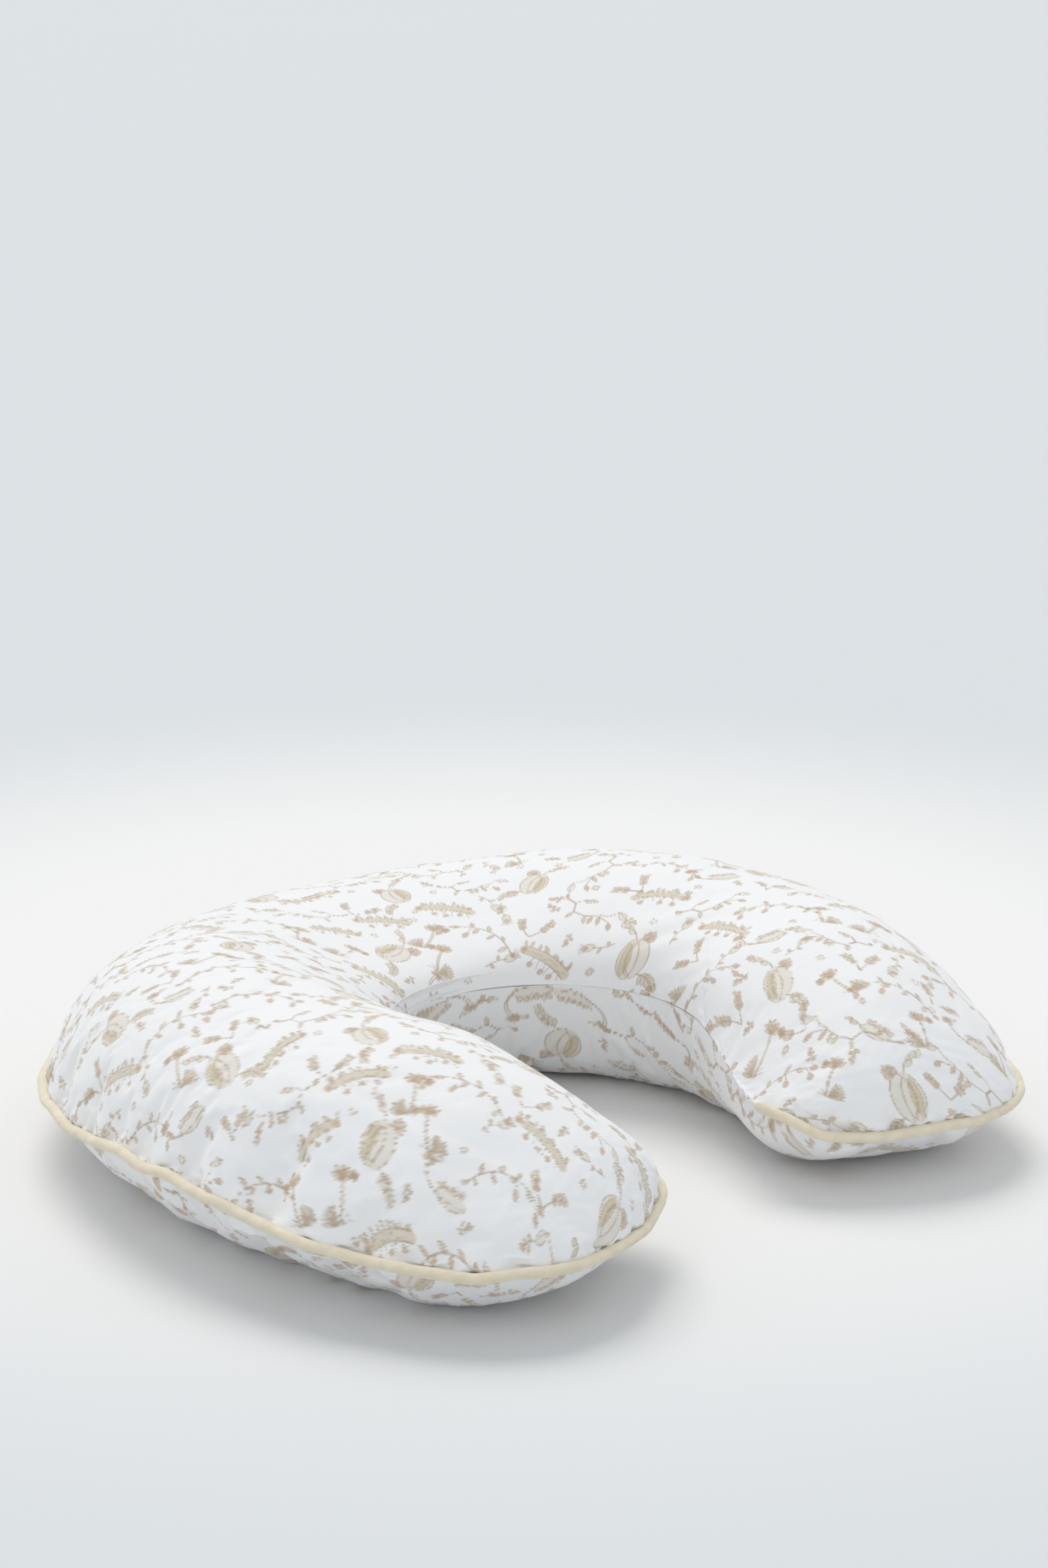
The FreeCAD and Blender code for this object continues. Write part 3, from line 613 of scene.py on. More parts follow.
def closed_surface(top, bottom):
    """Points and quads of both grids joined at their shared border, and each grid's numbers."""
    rows, columns = top.shape[:2]
    upper = np.arange(rows * columns).reshape(rows, columns)
    lower = upper.copy()
    inside = (rows - 2) * (columns - 2)
    lower[1:-1, 1:-1] = upper.size + np.arange(inside).reshape(rows - 2, columns - 2)
    points = np.concatenate([top.reshape(-1, 3), bottom[1:-1, 1:-1].reshape(-1, 3)])
    quads = np.concatenate([numbered_faces(upper), numbered_faces(lower)[:, ::-1]])
    return points, quads, upper, lower


def inflate(top, bottom):
    """Both grids after the cloth has been blown up between its pinned seams, capped in its move."""
    points, quads, upper, lower = closed_surface(top, bottom)
    cloth = bpy.data.objects.new("inflating", new_mesh("inflating", points, quads))
    bpy.context.scene.collection.objects.link(cloth)
    pins = cloth.vertex_groups.new(name="pins")
    resting = lower[bottom[..., 2] < RESTING_HEIGHT]
    held = np.unique(np.concatenate([upper[0], upper[-1], upper[:, 0], upper[:, -1], resting]))
    pins.add(held.tolist(), 1.0, "REPLACE")
    slack = cloth.vertex_groups.new(name="slack")
    fade = 1 - border_fade(top.shape[:2], SLACK_REACH)
    for level in range(1, SLACK_STEPS + 1):
        near = np.abs(fade - level / SLACK_STEPS) <= 0.5 / SLACK_STEPS
        members = np.unique(np.concatenate([upper[near], lower[near]]))
        slack.add(members.tolist(), level / SLACK_STEPS, "REPLACE")
    modifier = cloth.modifiers.new("cloth", "CLOTH")
    for setting, value in CLOTH_SETTINGS.items():
        setattr(modifier.settings, setting, value)
    modifier.settings.effector_weights.gravity = 0
    modifier.collision_settings.use_collision = False
    modifier.point_cache.frame_start = 1
    modifier.point_cache.frame_end = SIM_FRAMES
    for number in range(1, SIM_FRAMES + 1):
        bpy.context.scene.frame_set(number)
    settled = cloth.evaluated_get(bpy.context.evaluated_depsgraph_get()).to_mesh()
    found = np.empty(len(points) * 3, np.float32)
    settled.vertices.foreach_get("co", found)
    found = found.reshape(-1, 3).astype(float)
    bpy.data.objects.remove(cloth)
    bpy.context.scene.frame_set(1)
    move = found - points
    far = np.linalg.norm(move, axis=1, keepdims=True)
    capped = np.tanh(far / SIM_CAP) * SIM_CAP
    points = points + move * np.divide(capped, far, out=np.ones_like(far), where=far > 0)
    points[:, 2] = np.maximum(points[:, 2], 0)
    return points[upper], points[lower]


# ---- finer grids


def finer(grid, factor, axis):
    """Smooth (Catmull-Rom) refinement of a grid along one axis."""
    grid = np.moveaxis(grid, axis, 0)
    padded = np.concatenate([2 * grid[:1] - grid[1:2], grid, 2 * grid[-1:] - grid[-2:-1]])
    count = len(grid) - 1
    out = np.empty((count * factor + 1, *grid.shape[1:]))
    a, b, c, d = (padded[k : k + count] for k in range(4))
    for step in range(factor):
        t = step / factor
        out[step:-1:factor] = 0.5 * (
            2 * b + (c - a) * t + (2 * a - 5 * b + 4 * c - d) * t**2 + (3 * b - a - 3 * c + d) * t**3
        )
    out[-1] = grid[-1]
    return np.moveaxis(out, 0, axis)


def refined(grid, by_length, by_width):
    """Smooth refinement both ways."""
    return finer(finer(grid, by_length, 0), by_width, 1)


def grid_normals(grid):
    """Unit normals of a grid, pointing up on an upper panel."""
    normals = np.cross(np.gradient(grid, axis=0), np.gradient(grid, axis=1))
    return normals / np.maximum(np.linalg.norm(normals, axis=-1, keepdims=True), 1e-12)


def flat_pattern(grid):
    """Where each point of a panel lies on the flat cloth that it was cut from."""

    def walk(points):
        step = np.diff(points, axis=0)
        level = step[..., :2] / np.maximum(np.linalg.norm(step[..., :2], axis=-1, keepdims=True), 1e-9)
        path = np.cumsum(level * np.linalg.norm(step, axis=-1, keepdims=True), axis=0)
        return np.concatenate([np.zeros_like(path[:1]), path])

    middle = grid.shape[1] // 2
    spine = walk(grid[:, middle])
    spine += grid[len(grid) // 2, middle, :2] - spine[len(grid) // 2]
    outwards = walk(np.moveaxis(grid[:, middle:], 1, 0))
    inwards = walk(np.moveaxis(grid[:, middle::-1], 1, 0))[1:]
    lines = np.concatenate([inwards[::-1], outwards])
    return np.moveaxis(lines, 0, 1) + spine[:, None]


# ---- the printed pattern

TILE_SIZE = 0.330
TILE_CELLS = 900
CELL = TILE_SIZE / TILE_CELLS
LINE, FILL, TINT = range(3)  # outlines, olive fills and rose-brown fills
PRINT_TURN = math.radians(-43)
PRINT_SEED = 21
PRINT_TRIES = 60
PRINT_OVERLAP = 5 * MM
UPRIGHT_SPREAD = 38  # how far a large motif leans, in degrees: small ones lie any way round
SMALL_MOTIF = 10


class Stamp:
    """Draws one motif on the repeating tile, in the motif's own metres, turned and placed."""

    def __init__(self, tile, centre, turn, scale, mirror):
        self.tile = tile
        self.centre = np.asarray(centre)
        cos, sin = math.cos(turn) * scale, math.sin(turn) * scale
        self.matrix = np.array([[cos * mirror, -sin], [sin * mirror, cos]])
        self.scale = scale

    def window(self, low, high):
        """Cell numbers of a window, and its cells' places on the tile."""
        first = np.floor(low / CELL).astype(int)
        last = np.ceil(high / CELL).astype(int)
        across = np.arange(first[0], last[0] + 1)
        upward = np.arange(first[1], last[1] + 1)
        places = np.stack(np.meshgrid(across * CELL, upward * CELL), -1)
        return np.ix_(upward % TILE_CELLS, across % TILE_CELLS), places

    def cover(self, cells, kind, amount):
        """Adds ink where there is less."""
        layer = self.tile[kind]
        layer[cells] = np.maximum(layer[cells], amount)

    def placed(self, points):
        """Places on the tile of points in the motif's millimetres."""
        return self.centre + np.asarray(points, float) * MM @ self.matrix.T

    def line(self, points, width, end_width=None, kind=LINE, strength=1.0):
        """Pen line through points, in millimetres, thinning to its end width."""
        points = self.placed(points)
        end_width = width if end_width is None else end_width
        widths = np.linspace(width, end_width, len(points)) * MM
        for p, q, thick in zip(points[:-1], points[1:], widths):
            margin = thick + CELL
            cells, places = self.window(np.minimum(p, q) - margin, np.maximum(p, q) + margin)
            way = q - p
            span = max(way @ way, 1e-12)
            share = np.clip((places - p) @ way / span, 0, 1)
            gap = np.linalg.norm(places - p - share[..., None] * way, axis=-1)
            self.cover(cells, kind, strength * np.clip(0.5 + (thick / 2 - gap) / CELL, 0, 1))

    def leaf(self, base, tip, half_width, kind=FILL, strength=0.9, roundness=1.0, edge=0.5):
        """Filled leaf from base to tip with an outline: roundness 0.5 makes an oval."""
        base, tip = self.placed((base, tip))
        half = half_width * MM * self.scale
        margin = half + CELL
        cells, places = self.window(np.minimum(base, tip) - margin, np.maximum(base, tip) + margin)
        way = tip - base
        length = max(np.linalg.norm(way), 1e-9)
        way = way / length
        share = np.clip((places - base) @ way / length, 0, 1)
        aside = np.abs((places - base) @ np.array([-way[1], way[0]]))
        beyond = np.linalg.norm(places - base - (share * length)[..., None] * way, axis=-1) - aside
        inside = half * np.sin(math.pi * share) ** roundness - aside - 4 * np.maximum(beyond, 0)
        self.cover(cells, kind, strength * np.clip(0.5 + inside / CELL, 0, 1))
        if edge:
            rim = edge * MM / 2 - np.abs(inside)
            self.cover(cells, LINE, 0.85 * np.clip(0.5 + rim / CELL, 0, 1) * (share > 0) * (share < 1))

    def dot(self, place, radius, kind, strength):
        """Round spot."""
        place = np.asarray(place, float)
        rim = 0.35 if radius > 0.8 else 0
        self.leaf(place - (radius, 0), place + (radius, 0), radius, kind, strength, 0.5, rim)

    def fan(self, base, turns, reach, half_width, kinds, strength):
        """Leaves from one place at angles in degrees, their kinds taken in turn."""
        for k, turn in enumerate(turns):
            tip = np.add(base, polar(turn, reach))
            self.leaf(base, tip, half_width, kinds[k % len(kinds)], strength)


def bow(start, end, sag, count=9):
    """Points on a curve from start to end that bulges to its left by sag."""
    start, end = np.asarray(start, float), np.asarray(end, float)
    share = np.linspace(0, 1, count)[:, None]
    side = np.array([start[1] - end[1], end[0] - start[0]])
    side /= max(np.linalg.norm(side), 1e-9)
    return start + (end - start) * share + side * sag * 4 * share * (1 - share)


def polar(angle, length):
    """Vector at an angle in degrees, anticlockwise from +X."""
    return length * np.array([math.cos(math.radians(angle)), math.sin(math.radians(angle))])


def draw_sprig(pen, rng, length=46, sag=9, leaves=7, buds=2):
    """Arching stem with paired leaves, a bud at its tip and more hanging from it."""
    stem = bow((-length / 2, -4), (length / 2, -2), sag, 13)
    pen.line(stem, 0.75, 0.4)
    for k in range(leaves):
        at = stem[1 + k * 11 // leaves]
        side = 1 if k % 2 else -1
        tip = at + polar(rng.uniform(35, 65) * side + rng.uniform(-8, 8), rng.uniform(4.5, 7))
        pen.leaf(at, tip, rng.uniform(0.9, 1.4), TINT if k % 3 else FILL, 0.75)
    for k in range(buds):
        at = stem[8 + 3 * k]
        low = at + polar(-85 + 20 * k, 6 + 2 * k)
        pen.line(bow(at, low, 0.8, 5), 0.45)
        pen.leaf(low, low + polar(-80, 5.5), 1.6, TINT, 0.85)
        pen.line([low + (-1.5, -0.5), low + (0, 0.6), low + (1.5, -0.5)], 0.45)
    pen.leaf(stem[-1], stem[-1] + polar(-35, 6), 1.7, TINT, 0.9)
    pen.leaf(stem[0], stem[0] + polar(200, 4), 1.2, TINT, 0.9)


def draw_branch(pen, rng):
    """Knotty twig with a string of seeds and a long bud."""
    pen.line([(-20, 6), (-13, 3), (-11, -4), (-3, -6), (6, -5), (14, -9)], 0.95, 0.5)
    pen.leaf((-20, 6), (-22, 10), 1.0, TINT)
    pen.line(bow((-13, 3), (-2, 7), 1.5), 0.6, 0.35)
    for place in ((-8, 6.2), (-4, 7)):
        pen.leaf(place, np.add(place, polar(-20, 5)), 1.1, FILL, 0.8)
    for x, y, turn, reach in ((-3, -6, -70, 6), (2, -5.5, -95, 6), (6, -5, -75, 7), (-11, -4, -120, 6)):
        pen.leaf((x, y), np.add((x, y), polar(turn, reach)), 1.2, TINT if x > 0 else FILL, 0.8)
    seeds = bow((7, -4), (17, -1), -1.5, 6)
    for seed in seeds:
        pen.dot(seed, 0.75, TINT, 0.9)
    pen.leaf((17.5, -1), (25, -7), 2.1, FILL, 0.35)
    pen.line(bow((17.5, -1), (25, -7), 0.5, 4), 0.35)
    pen.leaf((14, -9), (17, -15), 1.4, TINT, 0.9)


def draw_pod(pen, rng):
    """Large striped seed pod with a leafy crown, and a long leaf on each side."""
    pen.leaf((0, 12), (2, -13), 9.5, FILL, 0.42, 0.5, 0.7)
    pen.leaf((1.2, 9.5), (2.6, -11), 3.4, FILL, 0.0, 0.5, 0.5)
    pen.leaf((4.6, 9.0), (6.4, -10), 3.0, FILL, 0.95, 0.6, 0.45)
    for shift, sag in ((-4, 4.5), (-6, 6), (5.5, -4.5)):
        pen.line(bow((shift * 0.3, 11), (2 + shift * 0.2, -12), sag), 0.45, strength=0.7)
    for turn in (70, 100, 130, 160, 190):
        pen.fan((-4.5, 9.5), (turn,), 7.5 - abs(turn - 130) / 30, 1.7, (TINT,), 0.6)
    for k in range(9):
        spot = np.array([-7, 12]) + polar(40 * k, 2.6)
        pen.dot(spot, 0.8, TINT, 0.65)
    wing = bow((2, 12), (12, 21), 2.5, 5)
    pen.line(wing, 0.6, 0.4)
    for k in range(1, 5):
        pen.leaf(wing[k], wing[k] + polar(15 + 12 * k, 6), 1.4, FILL, 0.45)
    tail = bow((-3, -11), (-13, -23), -2, 7)
    pen.line(tail, 0.7, 0.35)
    for k in range(1, 7):
        for side in (-1, 1):
            pen.leaf(tail[k], tail[k] + polar(235 + 38 * side, 6.5 - 0.6 * k), 1.0, FILL, 0.55)


def draw_log(pen, rng):
    """Fallen branch with moss on top and roots and mushrooms below."""
    line = bow((-16, -3), (15, 3), 2.5, 9)
    pen.line(line, 5.2, 4.2, FILL, 0.75)
    pen.line(line + (0, 2.6), 0.6)
    pen.line(line - (0, 2.3), 0.5)
    for k in range(8):
        start = line[k] + (0, rng.uniform(-1.5, 1))
        pen.line(bow(start, start + (3.2, 0.4), 0.3, 4), 0.35, strength=0.8)
    pen.dot(line[-1] + (0.6, 0.2), 2.3, TINT, 0.6)
    pen.dot(line[-1] + (0.6, 0.2), 1.1, LINE, 0.5)
    for k in range(10):
        at = line[k % 9] + (rng.uniform(-1, 2), 2.6)
        pen.leaf(at, at + polar(rng.uniform(50, 130), rng.uniform(2.5, 5)), 0.8, FILL, 0.7)
    for k in range(6):
        at = line[1 + k] - (0, 2.4)
        foot = at + polar(rng.uniform(-115, -60), rng.uniform(3, 6))
        pen.line(bow(at, foot, rng.uniform(-0.8, 0.8), 5), 0.45, 0.3)
        if k % 2:
            pen.leaf(foot - (1.8, 0), foot + (1.8, 0), 1.3, TINT, 0.75, 0.5)


def draw_twig(pen, rng):
    """V-shaped twig with leafy tips."""
    root = (0, -10)
    for turn, reach in ((rng.uniform(115, 135), 15), (rng.uniform(40, 60), 17)):
        tip = np.add(root, polar(turn, reach))
        stem = bow(root, tip, rng.uniform(-2, 2), 7)
        pen.line(stem, 0.7, 0.4)
        for k in (3, 4, 5, 6):
            for side in (-1, 1):
                end = stem[k] + polar(turn + 42 * side, rng.uniform(3, 4.6))
                pen.leaf(stem[k], end, 0.95, TINT if k % 2 else FILL, 0.8)


def draw_bell(pen, rng):
    """Tall flower with a flared head, growing from a fan of grass."""
    stem = bow((-2, -14), (1, 6), -1.5, 9)
    pen.line(stem, 1.5, 0.9, FILL, 0.6)
    pen.line(stem + (-0.6, 0), 0.4)
    pen.line(stem + (0.7, 0), 0.4)
    pen.fan((1, 6), (30, 58, 90, 122, 150), 7.5, 1.7, (FILL, TINT), 0.7)
    pen.fan((8.5, 8), range(20, 321, 60), 3, 1.0, (TINT,), 0.75)
    pen.dot((8.5, 8), 0.9, LINE, 0.7)
    pen.fan((-3, -14), range(100, 181, 13), 10, 0.8, (FILL,), 0.6)
    for turn in (20, 45, 70):
        pen.line(bow((-1, -14), np.add((-1, -14), polar(turn, 7)), 0.6, 4), 0.45, 0.3)


def draw_curl(pen, rng):
    """Long bent leaf with a ruffled back and a tuft at the end of a slender neck."""
    pen.leaf((-15, -5), (5, -4), 4.6, FILL, 0.4, 0.8, 0.55)
    pen.line(bow((-14, -5), (6, -5), -1.6, 8), 0.45)
    for k in range(6):
        at = np.array([-12 + 2.6 * k, -2 + 0.5 * math.sin(2.0 * k)])
        pen.leaf(at, at + polar(70 - 6 * k, 4.5), 1.1, FILL if k % 2 else TINT, 0.55)
    neck = bow((3, -5), (11, 7), -3.2, 9)
    pen.line(neck, 0.6)
    pen.line(neck + (1.6, 0.4), 0.5)
    pen.fan((11.8, 8), (10, 45, 80, 120, 160, 200), 4.2, 1.0, (TINT,), 0.65)
    pen.leaf((11, 9), (3, 11), 1.2, FILL, 0.5)


def draw_thistle(pen, rng):
    """Stem with a seed head of fine spikes."""
    stem = bow((-4, -11), (2, 2), 1.2, 6)
    pen.line(stem, 0.6, 0.45)
    pen.leaf((1.2, 0), (5.5, 9), 2.6, FILL, 0.5, 0.6)
    for turn in (40, 55, 70, 85, 100):
        start = np.add((3, 4), polar(turn, 1))
        pen.line([start, start + polar(turn, 6)], 0.4, 0.3)
    for k in (1, 3):
        pen.leaf(stem[k], stem[k] + polar(10 + 120 * (k == 3), 4), 0.9, TINT, 0.7)


def draw_floret(pen, rng):
    """Small star of petals."""
    petals = int(rng.integers(5, 8))
    for k in range(petals):
        turn = 360 * k / petals
        pen.leaf(polar(turn, 0.8), polar(turn, rng.uniform(2.4, 3.2)), 0.5, TINT, 0.7, 1.0, 0.3)


def draw_leaflet(pen, rng):
    """Small leafy tip."""
    pen.line(bow((0, -4), (0.5, 4), 0.8, 5), 0.5, 0.35)
    for k, turn in enumerate((150, 30, 120, 60, 90)):
        at = np.array([0.2, -2.5 + 1.5 * k])
        pen.leaf(at, at + polar(turn, 3.6), 0.9, TINT if k % 2 else FILL, 0.8)


# Each motif's function, how many of it a tile holds, and its radius in millimetres.
MOTIFS = (
    (draw_pod, 9, 19),
    (draw_sprig, 14, 16),
    (draw_branch, 12, 16),
    (draw_log, 12, 14),
    (draw_curl, 11, 12),
    (draw_bell, 12, 12),
    (draw_twig, 18, 10),
    (draw_thistle, 16, 8),
    (draw_leaflet, 30, 4.5),
    (draw_floret, 34, 4),
)


def print_tile():
    """Ink coverage over one repeat of the print: outlines, olive fills and rose-brown fills."""
    rng = np.random.default_rng(PRINT_SEED)
    tile = np.zeros((3, TILE_CELLS, TILE_CELLS))
    placed = []
    for draw, count, radius in MOTIFS:
        for _ in range(count):
            best = None
            for _ in range(PRINT_TRIES):
                spot = rng.uniform(0, TILE_SIZE, 2)
                room = 1.0
                for other, taken in placed:
                    gap = np.abs(spot - other)
                    gap = np.linalg.norm(np.minimum(gap, TILE_SIZE - gap))
                    room = min(room, gap - taken - radius * MM)
                if best is None or room > best[0]:
                    best = (room, spot)
            if best[0] < -PRINT_OVERLAP:
                continue
            placed.append((best[1], radius * MM))
            spread = 180 if radius < SMALL_MOTIF else UPRIGHT_SPREAD
            turn = math.radians(rng.uniform(-spread, spread))
            pen = Stamp(tile, best[1], turn, rng.uniform(0.95, 1.12), rng.choice((-1, 1)))
            draw(pen, rng)
    return tile


def sample_tile(tile, flat):
    """Ink at places on the flat cloth, between the tile's cells, repeating both ways."""
    cos, sin = math.cos(PRINT_TURN), math.sin(PRINT_TURN)
    x, y = flat[..., 0], flat[..., 1]
    cells = np.stack([x * cos + y * sin, y * cos - x * sin], -1) / CELL
    low = np.floor(cells).astype(int)
    part = cells - low
    x0, y0 = low[..., 0] % TILE_CELLS, low[..., 1] % TILE_CELLS
    x1, y1 = (x0 + 1) % TILE_CELLS, (y0 + 1) % TILE_CELLS
    fx, fy = part[..., 0], part[..., 1]
    upper = tile[:, y1, x0] * (1 - fx) + tile[:, y1, x1] * fx
    lower = tile[:, y0, x0] * (1 - fx) + tile[:, y0, x1] * fx
    return np.moveaxis(upper * fy + lower * (1 - fy), 0, -1)


# ---- the cover

SEAM_HALF_GAP = 0.2 * MM
FLOOR_CLEAR = 0.1 * MM
RESTING_REACH = 6 * MM
CRINKLE = 0.35 * MM
CRINKLE_WAVES = (0.021, 0.011)
CRINKLE_REACH = 12  # in cells of the settled grid: the two below are in cells of the finer one
HELD_REACH = 5
DRAPE_REACH = 40
PUCKER = 1.3 * MM
PUCKER_WAVES = (0.017, 0.034, 0.060)
PUCKER_REACH = 0.030
PUCKER_START = 0.005
DRAPE = 1.1 * MM
DRAPE_WAVE = 0.075
TOP_FACTORS = (4, 4)
BOTTOM_FACTORS = (4, 3)
BOTTOM_SHIFT = (0.11, 0.17)


def set_attribute(mesh, name, kind, values):
    """Keeps one value for each vertex in the mesh."""
    attribute = mesh.attributes.new(name, kind, "POINT")
    key = "color" if kind == "FLOAT_COLOR" else "vector"
    attribute.data.foreach_set(key, np.ascontiguousarray(values, np.float32).ravel())


def from_first_row(grid):
    """Distance over the cloth from a grid's first row."""
    steps = np.linalg.norm(np.diff(grid, axis=0, prepend=grid[:1]), axis=-1)
    return np.cumsum(steps, axis=0)


def from_border(grid, across):
    """Distance over the cloth from the outer border, or from the nearer horn end."""
    if across:
        return from_first_row(np.moveaxis(grid[:, ::-1], 1, 0)).T[:, ::-1]
    half = len(grid) // 2
    return np.concatenate([from_first_row(grid)[:half], from_first_row(grid[::-1])[::-1][half:]])


def puckers(grid, seed):
    """Small gathers square to the piped seam, fading away from it."""
    total = np.zeros(grid.shape[:2])
    half = len(grid) // 2
    ends = np.where(np.arange(len(grid))[:, None, None] < half, grid[:1], grid[-1:])
    for across, border in ((True, np.broadcast_to(grid[:, -1:], grid.shape)), (False, ends)):
        away = from_border(grid, across)
        waves = [ripple(border, wave, seed + k) for k, wave in enumerate(PUCKER_WAVES)]
        gather = waves[0] + 0.8 * waves[1]
        reach = PUCKER_REACH * (1 + 0.5 * waves[2])
        fade = np.exp(-away / reach) * (1 - np.exp(-((away / PUCKER_START) ** 2)))
        total += gather * fade
    return total


def part_seams(grid, side):
    """Moves a panel's edges off the seam lines, so that both panels' edges lie side by side."""
    rim = np.ones(grid.shape[:2])
    rim[1:-1, 1:-1] = 0
    return grid + rim[..., None] * (0, 0, side * SEAM_HALF_GAP)


def cover_panel(name, grid, pattern, tile, material, factors, side):
    """One printed panel from its settled grid: refined, crinkled, with its print and pattern."""
    fine = refined(part_seams(grid, side), *factors)
    flat = refined(pattern, *factors)
    normals = grid_normals(fine) * side
    near_seam = border_fade(grid.shape[:2], CRINKLE_REACH)
    near_seam = refined(near_seam[..., None], *factors)[..., 0]
    coarse, small = (ripple(fine, wave, 8 + k) for k, wave in enumerate(CRINKLE_WAVES))
    crinkle = coarse * (0.35 + near_seam) + 0.5 * small * near_seam
    held = 1 - border_fade(fine.shape[:2], HELD_REACH)
    moved = CRINKLE * crinkle * held + PUCKER * puckers(fine, 14)
    moved += DRAPE * ripple(fine, DRAPE_WAVE, 17) * (1 - border_fade(fine.shape[:2], DRAPE_REACH))
    resting = np.clip(fine[..., 2] / RESTING_REACH, 0, 1)
    fine = fine + normals * (moved * resting)[..., None]
    fine[..., 2] = np.maximum(fine[..., 2], FLOOR_CLEAR)
    rows, columns = fine.shape[:2]
    quads = numbered_faces(np.arange(rows * columns).reshape(rows, columns))
    piece = new_piece(name, fine.reshape(-1, 3), quads if side > 0 else quads[:, ::-1], material)
    ink = np.ones((rows, columns, 4))
    ink[..., :3] = np.clip(sample_tile(tile, flat), 0, 1)
    set_attribute(piece.data, "ink", "FLOAT_COLOR", ink)
    level = np.concatenate([flat, np.zeros((rows, columns, 1))], -1)
    set_attribute(piece.data, "flat", "FLOAT_VECTOR", level)
    return piece


# ---- the inner cushion

LINER_GAP = 6 * MM
LINER_SEAM_GAP = 9 * MM
FIBRE_GAP = 3 * MM
LINER_SEAM_REACH = 9
CENTRE_ROWS = 34


def drawn_in(top, bottom, gap, seam_gap):
    """Both grids pulled in towards the middle of the stuffing, most at the seams."""
    rows = len(top)
    middle = top.shape[1] // 2
    centres = (top[:, middle] + bottom[:, middle]) / 2
    centres = centres[np.clip(np.arange(rows), CENTRE_ROWS, rows - 1 - CENTRE_ROWS)][:, None]
    pull = (gap + seam_gap * border_fade(top.shape[:2], LINER_SEAM_REACH))[..., None]
    shrunk = []
    for grid in (top, bottom):
        inwards = centres - grid
        shrunk.append(grid + inwards / np.linalg.norm(inwards, axis=-1, keepdims=True) * pull)
    return shrunk


def inner_cushion(name, top, bottom, gap, seam_gap, material, nodes):
    """A closed piece inside the cover."""
    shrunk = drawn_in(top, bottom, gap, seam_gap)
    points, quads, _, _ = closed_surface(*(grid[::2, ::2] for grid in shrunk))
    piece = new_piece(name, points, quads, material)
    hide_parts(*nodes)
    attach(piece, "pillow")
    return piece


# ---- piping

PIPING_RADIUS = 3.3 * MM
PIPING_SIDES = 24
PIPING_STEP = 1.1 * MM
PIPING_BITE = 0.2 * MM
PIPING_END_RINGS = 6
FOLD_PITCH = 9 * MM
FOLD_DEPTH = 0.035
SWELL_DEPTH = 0.03


def seam_ring(top):
    """Points of the piped seam from the left inner corner to the right one."""
    left_end = top[0, :-1]
    outer = top[:, -1]
    right_end = top[-1, -2::-1]
    return np.concatenate([left_end, outer, right_end])


def evenly(line, step):
    """A line resampled at about that step, smoothed."""
    lengths = lengths_of(line)
    count = int(lengths[-1] / step) + 1
    even = along(line, np.linspace(0, 1, count))
    for _ in range(4):
        even[1:-1] = (even[:-2] + 2 * even[1:-1] + even[2:]) / 4
    return even


def level_outward(tangents):
    """Unit vectors that point outwards in plan, square to a line's tangents."""
    outward = np.cross(np.array([0, 0, 1.0]), tangents)
    return outward / np.linalg.norm(outward, axis=1, keepdims=True)


def tube(line, radii, sides):
    """Points round a line, from its side that faces outwards in plan, then upwards."""
    tangents = np.gradient(line, axis=0)
    tangents /= np.linalg.norm(tangents, axis=1, keepdims=True)
    outward = level_outward(tangents)
    upward = np.cross(tangents, outward)
    angles = np.linspace(0, 2 * math.pi, sides, endpoint=False)
    cos, sin = np.cos(angles)[None, :, None], np.sin(angles)[None, :, None]
    return line[:, None] + (outward[:, None] * cos + upward[:, None] * sin) * radii[..., None]


def tube_faces(rows, sides):
    """Quads round a tube, open at its ends."""
    numbers = np.arange(rows * sides).reshape(rows, sides)
    after = np.roll(numbers, -1, axis=1)
    return np.stack([numbers[:-1], after[:-1], after[1:], numbers[1:]], -1).reshape(-1, 4)


def round_ends(radii, taper):
    """Radii that come to a rounded point over that many rings at both ends."""
    steps = np.arange(len(radii))
    inside = np.minimum(np.minimum(steps, steps[::-1]) / taper, 1)
    return radii * np.sqrt(np.maximum(1 - (1 - inside) ** 2, 1e-4))[:, None]


def piping_line(top):
    """The middle line of the piping, just outside the seam."""
    ring = evenly(seam_ring(top), PIPING_STEP)
    return ring + level_outward(np.gradient(ring, axis=0)) * (PIPING_RADIUS - PIPING_BITE)


def piping(line, material):
    """Cream strip folded round its cord, with the slanting folds of a bias cut."""
    lengths = lengths_of(line)
    angles = np.linspace(0, 2 * math.pi, PIPING_SIDES, endpoint=False)
    twist = lengths[:, None] * (2 * math.pi / FOLD_PITCH) + 2.0 * angles[None]
    strength = 0.5 + 0.5 * ripple(lengths[:, None], 0.05, 12)[:, None]
    swell = SWELL_DEPTH * ripple(lengths[:, None], 0.025, 13)[:, None]
    radii = PIPING_RADIUS * (1 + swell + FOLD_DEPTH * strength * np.sin(twist))
    points = tube(line, round_ends(radii, PIPING_END_RINGS), PIPING_SIDES)
    piece = new_piece("piping", points.reshape(-1, 3), tube_faces(len(line), PIPING_SIDES), material)
    flat = np.zeros((len(line), PIPING_SIDES, 3))
    flat[..., 0] = lengths[:, None]
    flat[..., 1] = angles[None] * PIPING_RADIUS
    set_attribute(piece.data, "flat", "FLOAT_VECTOR", flat)
    return piece


# ---- woven label

LABEL_SIZE = (0.031, 0.0125)
LABEL_CELLS = (32, 14)
LABEL_START = 2.2 * MM
LABEL_CLEAR = 1.1 * MM
LABEL_THICKNESS = 0.5 * MM
LABEL_CURL = 1.6 * MM
LABEL_RUFFLE = 0.35 * MM


